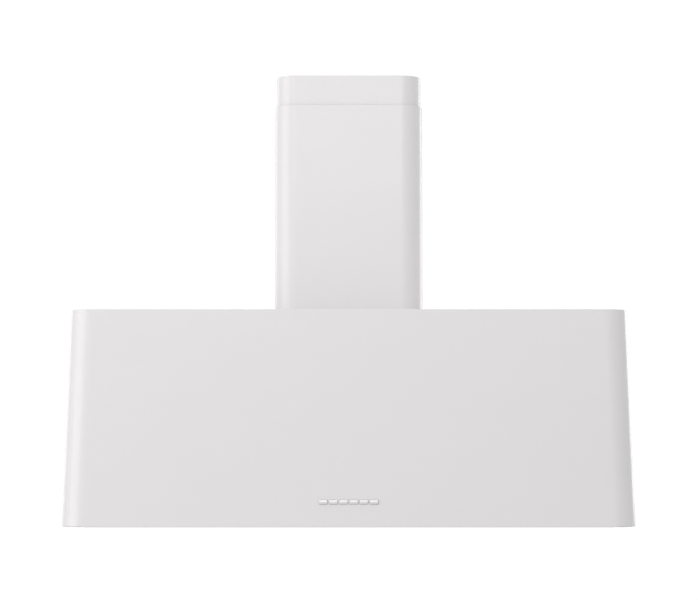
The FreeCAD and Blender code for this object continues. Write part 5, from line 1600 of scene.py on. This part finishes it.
# --- Lamps ---


@dataclass
class Lamps:
    """Four recessed lamps: bezel, ribbed lens, finned light unit and spring clips."""

    window: float = 24 * MM
    inner: float = 28.3 * MM
    sleeve: float = 30 * MM
    flange: float = 34 * MM
    wall: float = 1.4 * MM

    def __post_init__(self) -> None:
        """Reads where the lamps are."""
        rings = Box.of("lamp_rings")
        reach = rings.high - self.flange
        self.places = [(sx * reach[0], sy * reach[1]) for sx, sy in CORNERS]
        self.low, self.high = rings.low[2], rings.high[2]

    def build(self) -> None:
        """All four sets."""
        self.bezels()
        self.lenses()
        self.light_units()
        self.clips()
    def at_each(self, profile: Points, steps: int, name: str, node: str, finish: Finish) -> None:
        """One profile turned at each of the four places, as one piece."""
        shell = Shell()
        for x, y in self.places:
            turned(shell, profile, (x, y, 0.0), steps=steps)
        finish_piece(shell, name, node, finish)

    def bezels(self) -> None:
        """Bezels: a flange with a rolled rim and a stepped window, and a thin sleeve."""
        low, high, window, sleeve = self.low, self.high, self.window, self.sleeve
        pan, ledge, bore = low + 1.6 * MM, low + 1.0 * MM, sleeve - self.wall
        profile = joined(
            [(window, ledge)],
            arc((window + 0.9 * MM, low + 0.9 * MM), 0.9 * MM, 180, 270, 4),
            arc((self.flange - 1.2 * MM, low + 1.2 * MM), 1.2 * MM, -90, 0, 5),
            [(self.flange - 0.1 * MM, pan), (sleeve, pan), (sleeve, high), (bore, high), (bore, ledge)],
            [(window, ledge)],
        )
        self.at_each(profile, 72, "lamp_bezels", "lamp_rings", ALUMINIUM)

    def lenses(self) -> None:
        """Lenses: a flat back, and a front with concentric ribs, half rib depth times 1 - cos of the radius."""
        box = Box.of("lamp_lenses")
        low, high = box.low[2], box.high[2]
        radius = np.linspace(0, self.window - 1 * MM, 60)
        ribs = low + 0.25 * MM * (1 - np.cos(radius / (2.2 * MM) * 2 * math.pi)) / 2
        edge = arc((self.inner - 0.4 * MM, low + 0.4 * MM), 0.4 * MM, -90, 0, 3)
        profile = joined(np.column_stack([radius, ribs]), edge, [(self.inner, high), (0.0, high)])
        self.at_each(profile, 64, "lamp_glasses", "lamp_lenses", GLASS)

    def light_units(self) -> None:
        """Light units: a stem with five turned fins."""
        box = Box.of("lamp_modules")
        low, inner, stem, cut = box.low[2], self.inner, self.inner - 4 * MM, 0.3 * MM
        profile = [(0.0, low)]
        for start in (0, 8, 12, 16, 20):
            base, top = low + start * MM, low + (start + 2) * MM
            profile += [(stem, base), (inner - cut, base), (inner, base + cut)]
            profile += [(inner, top - cut), (inner - cut, top), (stem, top)]
        profile[1] = (stem * 0.999, low)
        profile += [(stem - 0.6 * MM, box.high[2]), (0.0, box.high[2])]
        self.at_each(np.array(profile), 56, "lamp_light_units", "lamp_modules", ALUMINIUM)

    def clips(self) -> None:
        """Two spring strips a lamp: up along the sleeve, round a fold, and out over the panel."""
        box, half, wide = Box.of("lamp_clips"), 0.4 * MM, 5 * MM
        start, foot = self.sleeve + 0.2 * MM + half, box.low[2] + half
        path = bent([(start, box.high[2]), (start, foot), (self.sleeve + 12 * MM, foot)], 1.4 * MM, 5)
        shell = Shell()
        for x, y in self.places:
            for side in (-1, 1):

                def place(points: Points, along: float, x: float = x, y: float = y, side: int = side) -> Points:
                    """A section out from the lamp at one Y."""
                    out = x + side * points[:, 0]
                    return np.column_stack([out, np.full(len(points), y + along), points[:, 1]])

                folded(shell, beside(path, half), beside(path, -half), place, -wide, wide)
        finish_piece(shell, "lamp_spring_clips", "lamp_clips", STEEL_Y)


# --- Exhaust ---


@dataclass
class Exhaust:
    """The moulded outlet collar, its damper pin, the two flaps, and the cable's grommet."""

    bore: float = 73.5 * MM
    spigot: float = 75 * MM
    flange: float = 96 * MM
    flap: float = 72.5 * MM
    root: float = 4 * MM
    knuckle: float = 3.6 * MM
    pin: float = 2 * MM

    def build(self) -> None:
        """Collar, flaps and grommet."""
        self.collar()
        for side, name in HALVES:
            self.damper_flap(side, name)
        self.grommet()

    def collar(self) -> None:
        """Collar: flange with a rounded rim, ribbed spigot with a rolled mouth, and the ledge for the flaps."""
        box, pin = Box.of("outlet_collar"), Box.of("damper_pin")
        low, high = box.low[2], box.high[2]
        ledge = pin.middle[2] - 0.9 * MM
        ribs = low + np.linspace(18, 38, 41) * MM
        rib_out = self.spigot - 0.35 * MM * (1 + np.cos((ribs - low) / (5 * MM) * 2 * math.pi)) / 2
        bore, edge = self.bore, self.bore - 4 * MM
        profile = joined(
            [(bore, low), (self.flange - 0.6 * MM, low)],
            arc((self.flange - 0.8 * MM, low + 1.2 * MM), 0.8 * MM, 0, 90, 4),
            arc((self.spigot + 2 * MM, low + 4 * MM), 2 * MM, 270, 180, 5),
            np.column_stack([rib_out, ribs]),
            arc((self.spigot - 0.7 * MM, high - 0.7 * MM), 0.7 * MM, 0, 90, 4),
            [(bore + 0.2 * MM, high), (bore, high - 0.4 * MM), (bore, ledge), (edge + 0.4 * MM, ledge)],
            [(edge, ledge - 0.4 * MM), (edge, ledge - 1.1 * MM), (edge + 0.4 * MM, ledge - 1.5 * MM)],
            [(bore, ledge - 1.5 * MM), (bore, low)],
        )
        shell = turned(Shell(), profile, (0.0, 0.0, 0.0), steps=96)
        finish_piece(shell, "outlet_spigot", "outlet_collar", PLASTIC)

    def damper_flap(self, side: int, name: str) -> None:
        """Half-round flap: out to sqrt(radius^2 - y^2), stiffened by a low swell, with knuckles on the pin."""
        z = Box.of("damper_pin").middle[2]
        thick = 1.2 * MM
        reach = math.sqrt(self.flap**2 - self.root**2)
        y = reach * np.sin(np.linspace(-math.pi / 2, math.pi / 2, 41))
        share = np.linspace(0, 1, 15)[:, None]
        x = self.root + share * (np.sqrt(self.flap**2 - y**2) - self.root)
        grid = np.stack([side * x, np.broadcast_to(y, x.shape), np.full(x.shape, z)], axis=-1)
        shell = Shell()
        swell = np.exp(-((share - 0.5) / 0.08) ** 2) * (1 - np.abs(y / reach)) * 0.5 * MM
        upper, lower = grid.copy(), grid.copy()
        upper[..., 2] += thick / 2 + swell
        lower[..., 2] -= thick / 2
        shell.grid(upper).grid(lower)
        shell.strip(upper[0], lower[0]).strip(upper[-1], lower[-1])
        starts = (-60, 0) if side > 0 else (-30, 30)
        for start in starts:
            y0, y1 = (start + 0.5) * MM, (start + 29.5) * MM
            bore = self.pin + 0.3 * MM
            ring = np.array([(bore, y0), (self.knuckle, y0), (self.knuckle, y1), (bore, y1), (bore, y0)])
            turned(shell, ring, (0.0, 0.0, z), axis=1, steps=28)
            web = sorted((side * (self.knuckle - 0.4 * MM), side * (self.root + 0.6 * MM)))
            block(shell, (web[0], y0, z - thick / 2), (web[1], y1, z + thick / 2), 0.2 * MM, 2)
        finish_piece(shell, f"damper_half_{name}", f"damper_flap_{name}", PLASTIC)

    def grommet(self) -> None:
        """Rubber grommet with two rounded lips round the top plate's edge."""
        box, plate = Box.of("cable_grommet"), Box.of("canopy_top_plate").high[2]
        lip = box.size[0] / 2
        neck, bore = lip - 2.05 * MM, 4.5 * MM
        under = plate - 1.5 * MM
        low, high = box.low[2], box.high[2]
        profile = joined(
            arc((bore + 0.8 * MM, low + 0.8 * MM), 0.8 * MM, 180, 270, 4),
            arc((lip - 0.9 * MM, low + 0.9 * MM), 0.9 * MM, -90, 0, 4),
            [(lip, under), (neck, under), (neck, plate), (lip, plate)],
            arc((lip - 0.9 * MM, high - 0.9 * MM), 0.9 * MM, 0, 90, 4),
            arc((bore + 0.8 * MM, high - 0.8 * MM), 0.8 * MM, 90, 180, 4),
            [(bore, low + 0.8 * MM)],
        )
        shell = turned(Shell(), profile, (box.middle[0], box.middle[1], 0.0), steps=40)
        finish_piece(shell, "mains_grommet_ring", "cable_grommet", RUBBER)


# --- Blower ---


@dataclass
class Blower:
    """Double-inlet blower: scroll housing in two halves, impeller, motor, shaft and rubber mounts."""

    start: float = 105 * MM
    step: float = 20 * MM
    tongue: float = 15 * MM
    wall: float = 2 * MM
    inlet: float = 80 * MM
    lip: float = 10 * MM
    mouth: float = 73.5 * MM
    flange: float = 112 * MM
    blades: int = 24
    blade_low: float = 78 * MM
    blade_high: float = 92.5 * MM
    blade_sheet: float = 1.2 * MM
    motor: float = 42 * MM

    def __post_init__(self) -> None:
        """Reads the impeller's axis from its joint and the blower's top from its flange."""
        joint = next(j for j in frame["joints"] if j["name"] == "impeller_spin")
        self.axis = np.array(joint["pos_m"], float)
        self.top = Box.of("rubber_mounts").low[2]

    def build(self) -> None:
        """Housing, impeller, motor, shaft, seal and mounts."""
        for side, name in HALVES:
            self.housing(side, name)
        self.impeller()
        self.impeller_blades()
        self.motor_can()
        self.shaft()
        self.mounts()

    def spun(self, shell: Shell, profile: Sequence[Sequence[float]], steps: int) -> Shell:
        """A profile of (radius, X) turned about the impeller's axis."""
        return turned(shell, np.array(profile), (0.0, *self.axis[1:]), axis=0, steps=steps)

    def scroll(self, offset: float) -> Points:
        """The scroll's outline in Y and Z: three widening quarter arcs between the mouth's two straight sides.

        Args:
            offset: how far outside the air passage.

        Returns:
            Points from the mouth's tongue side round to its far side.
        """
        rows = []
        tongue = self.tongue - offset
        rise = self.top - self.axis[2]
        rows.append(np.column_stack([np.full(3, tongue), np.linspace(rise, self.start + offset, 3)]))
        quarters = ((0, 0, 90), (1, 0, 180), (1, 1, 270))
        for count, (step_y, step_z, turn) in enumerate(quarters):
            centre = (step_y * self.step, step_z * self.step)
            rows.append(arc(centre, self.start + count * self.step + offset, turn, turn + 90, 16))
        last = rows[-1][-1]
        rows.append(np.column_stack([np.full(3, last[0]), np.linspace(last[1], rise, 4)[1:]]))
        return np.concatenate(rows)

    def housing(self, side: int, name: str) -> None:
        """Half of the housing: scroll wall, side, and an inlet rolled out to a lip, all in one sheet.

        Each ring of the surface follows the scroll's outline at one X. On the side the rings close in on the
        inlet's circle, each point towards the circle's point in its own direction from the axis.

        Args:
            side: -1 for the left half, and 1 for the right.
            name: which half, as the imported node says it.
        """
        box = Box.of(f"blower_housing_{name}")
        far = max(abs(box.low[0]), abs(box.high[0]))
        wide, inner_x, lip_r = far - self.lip, far - self.lip - self.wall, self.inlet + self.wall
        mouth = np.linspace(0, 1, 10)[1:-1, None]
        outside, inside = (joined(s, s[-1] + (s[0] - s[-1]) * mouth) for s in map(self.scroll, (self.wall, 0.0)))
        turn = np.arctan2(outside[:, 1], outside[:, 0])
        disc = np.column_stack([np.cos(turn), np.sin(turn)])
        rings = [(x, outside) for x in np.linspace(0, wide - 1.5 * MM, 6)]
        outer_rows = len(rings)
        rings += [(wide - 0.4 * MM, outside * 0.998), (wide, outside * 0.99), (wide, disc * (lip_r + 6 * MM))]
        rings += [(x, disc * out) for out, x in arc((lip_r + 3 * MM, wide + 3 * MM), 3 * MM, 270, 180, 5)]
        rings += [(far - 1 * MM, disc * lip_r), (far, disc * (lip_r - 1 * MM)), (far - 1 * MM, disc * self.inlet)]
        rings += [(inner_x, disc * self.inlet), (inner_x, inside * 0.99)]
        inner_first = len(rings)
        rings += [(x, inside) for x in np.linspace(inner_x, 0, 6)]
        grid = np.stack([at_x(points + self.axis[1:], side * x) for x, points in rings])
        keep = np.ones(grid.shape[:2], bool)
        first = len(outside) - len(mouth) - 1
        keep[: outer_rows - 1, first:] = False
        keep[inner_first:, first:] = False
        shell = Shell()
        shell.grid(grid, rows=True, columns=True, keep=keep)
        walls = grid[:outer_rows], grid[: inner_first - 1 : -1]
        for column in (first, 0):
            shell.strip(walls[0][:, column], walls[1][:, column])
        over = np.concatenate([grid[:, first:], grid[:, :1]], axis=1)
        shell.strip(over[outer_rows - 1], over[inner_first])
        self.half_flange(shell, side)
        finish_piece(shell, f"blower_case_{name}", f"blower_housing_{name}", ZINC_SHEET)

    def half_flange(self, shell: Shell, side: int) -> None:
        """Half of the flange round the mouth: a half ring with a rounded edge."""
        turn = np.radians(np.linspace(-90, 90, 40) if side > 0 else np.linspace(90, 270, 40))
        mouth, edge = self.mouth, self.wall / 2
        rim = arc((self.flange - edge, self.top - edge), edge, -90, 90, 5)
        section = joined([(mouth, self.top - self.wall)], rim, [(mouth, self.top)])
        grid = np.stack([around(radius, turn, z) for radius, z in section])
        shell.grid(grid, rows=True)
        half = len(section) // 2
        for end in (0, -1):
            shell.strip(grid[:half, end], grid[: half - 1 : -1, end])

    def impeller(self) -> None:
        """Hub, middle disc with a dished web, and two end rings, turned about the axis."""
        box = Box.of("impeller")
        radius = box.size[1] / 2
        half = box.size[0] / 2
        bore, hub, boss = 4.02 * MM, 16 * MM, 15 * MM
        shell = Shell()
        profile = [(bore, -6 * MM), (boss, -6 * MM), (hub, -5 * MM), (hub, -1 * MM), (radius - 0.3 * MM, -1 * MM)]
        profile += [(radius, 0.0), (radius - 0.3 * MM, 1 * MM), (hub, 1 * MM), (hub, 7 * MM), (boss, 8 * MM)]
        self.spun(shell, profile + [(bore, 8 * MM), (bore, -6 * MM)], 96)
        inner, edge = radius - 9 * MM, radius - 1 * MM
        for side in (-1, 1):
            low, high = sorted((side * half, side * (half - 2 * MM)))
            rim = arc((radius - 0.8 * MM, (low + high) / 2), 0.8 * MM, -90, 90, 6)
            ring = joined([(inner, low), (edge, low)], rim, [(edge, high), (inner, high), (inner, low)])
            self.spun(shell, ring, 96)
        finish_piece(shell, "impeller_hub_and_rings", "impeller", ALUMINIUM)

    def impeller_blades(self) -> None:
        """Forward-curved blades: an arc section from the inner to the outer radius, carried along X.

        Across the section the angle grows with the square of the share of the way out, which gives the camber.
        """
        box = Box.of("impeller")
        far = box.size[0] / 2 - 2 * MM
        share = np.linspace(0, 1, 9)
        radius = self.blade_low + share * (self.blade_high - self.blade_low)
        lean = 0.1 * (share**2 - 0.4)
        middle = np.column_stack([radius * np.sin(lean), radius * np.cos(lean)])
        sides = [beside(middle, half) for half in (self.blade_sheet / 2, -self.blade_sheet / 2)]
        left, right = (np.column_stack([s[:, 0], np.minimum(s[:, 1], self.blade_high)]) for s in sides)
        shell = Shell()
        for count in range(self.blades):
            turn = 2 * math.pi * count / self.blades
            spin = np.array([[math.cos(turn), math.sin(turn)], [-math.sin(turn), math.cos(turn)]])

            def place(points: Points, along: float, spin: Points = spin) -> Points:
                """A section in Y and Z, turned about the axis, at one X."""
                return at_x(points @ spin + self.axis[1:], along)

            for side in (-1, 1):
                folded(shell, left, right, place, side * 1 * MM, side * far)
        finish_piece(shell, "impeller_vanes", "impeller_blades", ALUMINIUM)

    def motor_can(self) -> None:
        """Motor: a can with cooling grooves and rounded ends, and a nose round the shaft."""
        box = Box.of("motor_body")
        low, high = box.low[0], box.high[0] - 6 * MM
        radius, bore = self.motor, 4.05 * MM
        cut = 1.2 * MM
        profile = [(0.0, low), (radius - 4 * MM, low), (radius - cut, low + cut), (radius, low + 4 * MM)]
        groove = ((0.0, 0.0), (1.6, 0.6), (1.6, 2.4), (0.0, 3.0))  # depth and place along, in millimetres
        for start in (8, 14, 20, 26):
            profile += [(radius - deep * MM, low + (start + along) * MM) for deep, along in groove]
        profile += [(radius, high - 3 * MM), (radius - 3 * MM, high), (16 * MM, high), (14 * MM, high + 1.5 * MM)]
        profile += [(13 * MM, box.high[0] - 0.5 * MM), (12 * MM, box.high[0]), (bore, box.high[0])]
        shell = self.spun(Shell(), profile + [(bore, low + 10 * MM), (0.0, low + 10 * MM)], 72)
        finish_piece(shell, "motor_can", "motor_body", MOTOR_PAINT)

    def shaft(self) -> None:
        """Shaft with a chamfer at each end."""
        box = Box.of("motor_shaft")
        radius, cut = box.size[1] / 2, 0.5 * MM
        low, high = box.low[0], box.high[0]
        profile = [(0.0, low), (radius - cut, low), (radius, low + cut), (radius, high - cut)]
        shell = self.spun(Shell(), profile + [(radius - cut, high), (0.0, high)], 36)
        finish_piece(shell, "impeller_shaft", "motor_shaft", SHAFT_STEEL)

    def mounts(self) -> None:
        """Rubber mounts with a waist, and the foam seal, soft-edged."""
        box = Box.of("rubber_mounts")
        radius, bore = 8 * MM, 2.7 * MM
        low, high = box.low[2], box.high[2]
        middle = (low + high) / 2
        waist = [(bore, low), (radius - 0.5 * MM, low), (radius, low + 0.5 * MM), (radius - 1 * MM, middle)]
        waist += [(radius, high - 0.5 * MM), (radius - 0.5 * MM, high), (bore, high), (bore, low)]
        shell = Shell()
        for sx, sy in CORNERS:
            place = (sx * (box.high[0] - radius), sy * (box.high[1] - radius), 0.0)
            turned(shell, np.array(waist), place, steps=32)
        finish_piece(shell, "blower_rubber_mounts", "rubber_mounts", RUBBER)
        seal = Box.of("outlet_seal")
        outer = seal.size[0] / 2
        ring = joined(
            [(self.mouth, low)],
            arc((outer - 1 * MM, low + 1 * MM), 1 * MM, -90, 0, 4),
            arc((outer - 1 * MM, high - 1 * MM), 1 * MM, 0, 90, 4),
            [(self.mouth, high), (self.mouth, low)],
        )
        finish_piece(turned(Shell(), ring, (0.0, 0.0, 0.0), steps=80), "outlet_foam_ring", "outlet_seal", FOAM)


# --- Studio ---


@dataclass(frozen=True)
class Softbox:
    """One soft lamp: its bearing from the front, its height as an angle, its distance, size and strength."""

    name: str
    bearing: float  # degrees, positive to the right
    climb: float  # degrees
    distance: float
    size: tuple[float, float]
    watts: float

    def build(self, aim: Vector) -> None:
        """Makes the lamp, facing aim. The camera doesn't see it, though polished surfaces do.

        Args:
            aim: what the lamp faces.
        """
        lamp = bpy.data.lights.new(self.name, "AREA")
        lamp.shape = "RECTANGLE"
        lamp.size, lamp.size_y = self.size
        lamp.energy = self.watts
        turn, climb = math.radians(self.bearing), math.radians(self.climb)
        away = Vector((math.sin(turn) * math.cos(climb), -math.cos(turn) * math.cos(climb), math.sin(climb)))
        stand = bpy.data.objects.new(self.name, lamp)
        stand.location = aim + away * self.distance
        stand.rotation_euler = (-away).to_track_quat("-Z", "Y").to_euler()
        stand.visible_camera = False
        bpy.context.scene.collection.objects.link(stand)


@dataclass
class Studio:
    """White surroundings, a pale floor, soft lamps and the camera."""

    distance: float = 3.6544  # from the canopy's front to the camera
    rise: float = 0.1436  # of the camera over the rim
    pitch: float = 3.907  # degrees up
    lens: float = 108.72
    sensor: float = 36.0
    floor_drop: float = 0.95  # from the rim to the floor
    floor_reach: float = 5.5
    floor_fade: tuple[float, float] = (2.4, 5.2)  # where it starts and ends to pass into the white behind
    surround: float = 0.63

    LAMPS: ClassVar[tuple[Softbox, ...]] = (
        Softbox("key_left", -60.0, 6.0, 4.3, (3.0, 3.2), 42.5),
        Softbox("side_left", -85.0, 6.0, 4.3, (2.4, 3.2), 4.0),
        Softbox("fill_front", -8.0, 22.0, 5.0, (3.2, 2.2), 38.5),
        Softbox("overhead", 0.0, 89.9, 2.6, (3.0, 3.0), 22.0),
        Softbox("rear_left", -140.0, 10.0, 4.2, (2.0, 2.2), 12.0),
        Softbox("rear_right", 135.0, 10.0, 4.2, (2.0, 2.2), 26.0),
    )

    def build(self) -> None:
        """Everything but the object."""
        self.camera()
        self.floor()
        self.world()
        middle = Vector((0.0, 0.0, Box.of("canopy_skin").low[2] + 0.3))
        for lamp in self.LAMPS:
            lamp.build(middle)
        bpy.context.scene.view_settings.view_transform = "Standard"

    def camera(self) -> None:
        """The camera, level with the lower part of the canopy and tilted up a little."""
        rim = Box.of("canopy_skin")
        data = bpy.data.cameras.new("camera")
        data.lens, data.sensor_width = self.lens, self.sensor
        data.clip_start, data.clip_end = 0.1, 60.0
        camera = bpy.data.objects.new("camera", data)
        camera.location = (rim.middle[0] + 0.0004, rim.low[1] - self.distance, rim.low[2] + self.rise)
        camera.rotation_euler = (math.radians(90 + self.pitch), 0.0, 0.0)
        bpy.context.scene.collection.objects.link(camera)
        bpy.context.scene.camera = camera

    def floor(self) -> None:
        """A round pale floor, a ring grid closed at its middle, that passes into the white behind it."""
        z = Box.of("canopy_skin").low[2] - self.floor_drop
        reach = np.linspace(0, self.floor_reach, 12)[:, None]
        grid = around(reach, full_turn(64), z)
        floor = bpy.data.objects.new("floor", Shell().grid(grid, columns=True).mesh("floor"))
        bpy.context.scene.collection.objects.link(floor)
        made = bpy.data.materials.new("studio_floor")
        made.use_nodes = True
        tree = Tree(made.node_tree)
        where = tree.add("ShaderNodeTexCoord").outputs["Object"]
        drift = tree.noise(where, 1.5, 2.0)
        colour = tree.tint(drift, (0.76, 0.76, 0.76), (0.72, 0.72, 0.72))
        shader = tree.add("ShaderNodeBsdfPrincipled", {"Base Color": colour, "Roughness": 0.9})
        away = tree.add("ShaderNodeVectorMath", {0: where}, operation="LENGTH").outputs["Value"]
        fade = tree.span(away, *self.floor_fade, 0.0, 1.0)
        seen = tree.math("MULTIPLY", fade, tree.add("ShaderNodeLightPath").outputs["Is Camera Ray"])
        glow = tree.add("ShaderNodeEmission", {"Color": (1.0, 1.0, 1.0, 1.0), "Strength": 1.02})
        mixed = tree.add("ShaderNodeMixShader", {0: seen, 1: shader.outputs[0], 2: glow.outputs[0]})
        tree.add("ShaderNodeOutputMaterial", {"Surface": mixed.outputs[0]})
        floor.data.materials.append(made)

    def world(self) -> None:
        """White behind the object, and an even pale light from all round."""
        world = bpy.data.worlds.new("studio")
        world.use_nodes = True
        tree = Tree(world.node_tree)
        seen = tree.add("ShaderNodeBackground", {"Color": (1.0, 1.0, 1.0, 1.0), "Strength": 1.02})
        even = tree.add("ShaderNodeBackground", {"Color": (1.0, 1.0, 1.0, 1.0), "Strength": self.surround})
        path = tree.add("ShaderNodeLightPath").outputs["Is Camera Ray"]
        mixed = tree.add("ShaderNodeMixShader", {0: path, 1: even.outputs[0], 2: seen.outputs[0]})
        tree.add("ShaderNodeOutputWorld", {"Surface": mixed.outputs[0]})
        bpy.context.scene.world = world


def dress_frame() -> None:
    """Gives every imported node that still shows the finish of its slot."""
    for name, piece in frame["nodes"].items():
        if piece.hide_render:
            continue
        piece.data.materials.clear()
        piece.data.materials.append(SLOT_FINISH[slot_of(name)].material())


def main() -> None:
    """Builds the sub-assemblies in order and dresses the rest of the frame."""
    logging.basicConfig(level=logging.INFO, format="%(name)s %(message)s")
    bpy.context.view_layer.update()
    Studio().build()
    Canopy().walls()
    Chimney().build()
    for side in BAYS:
        GreaseFilter(side).build()
    Catches().build()
    Lamps().build()
    Exhaust().build()
    Blower().build()
    Panels().build()
    MountingFrame().build()
    Fasteners().build()
    dress_frame()


if __name__ == "__main__":
    main()
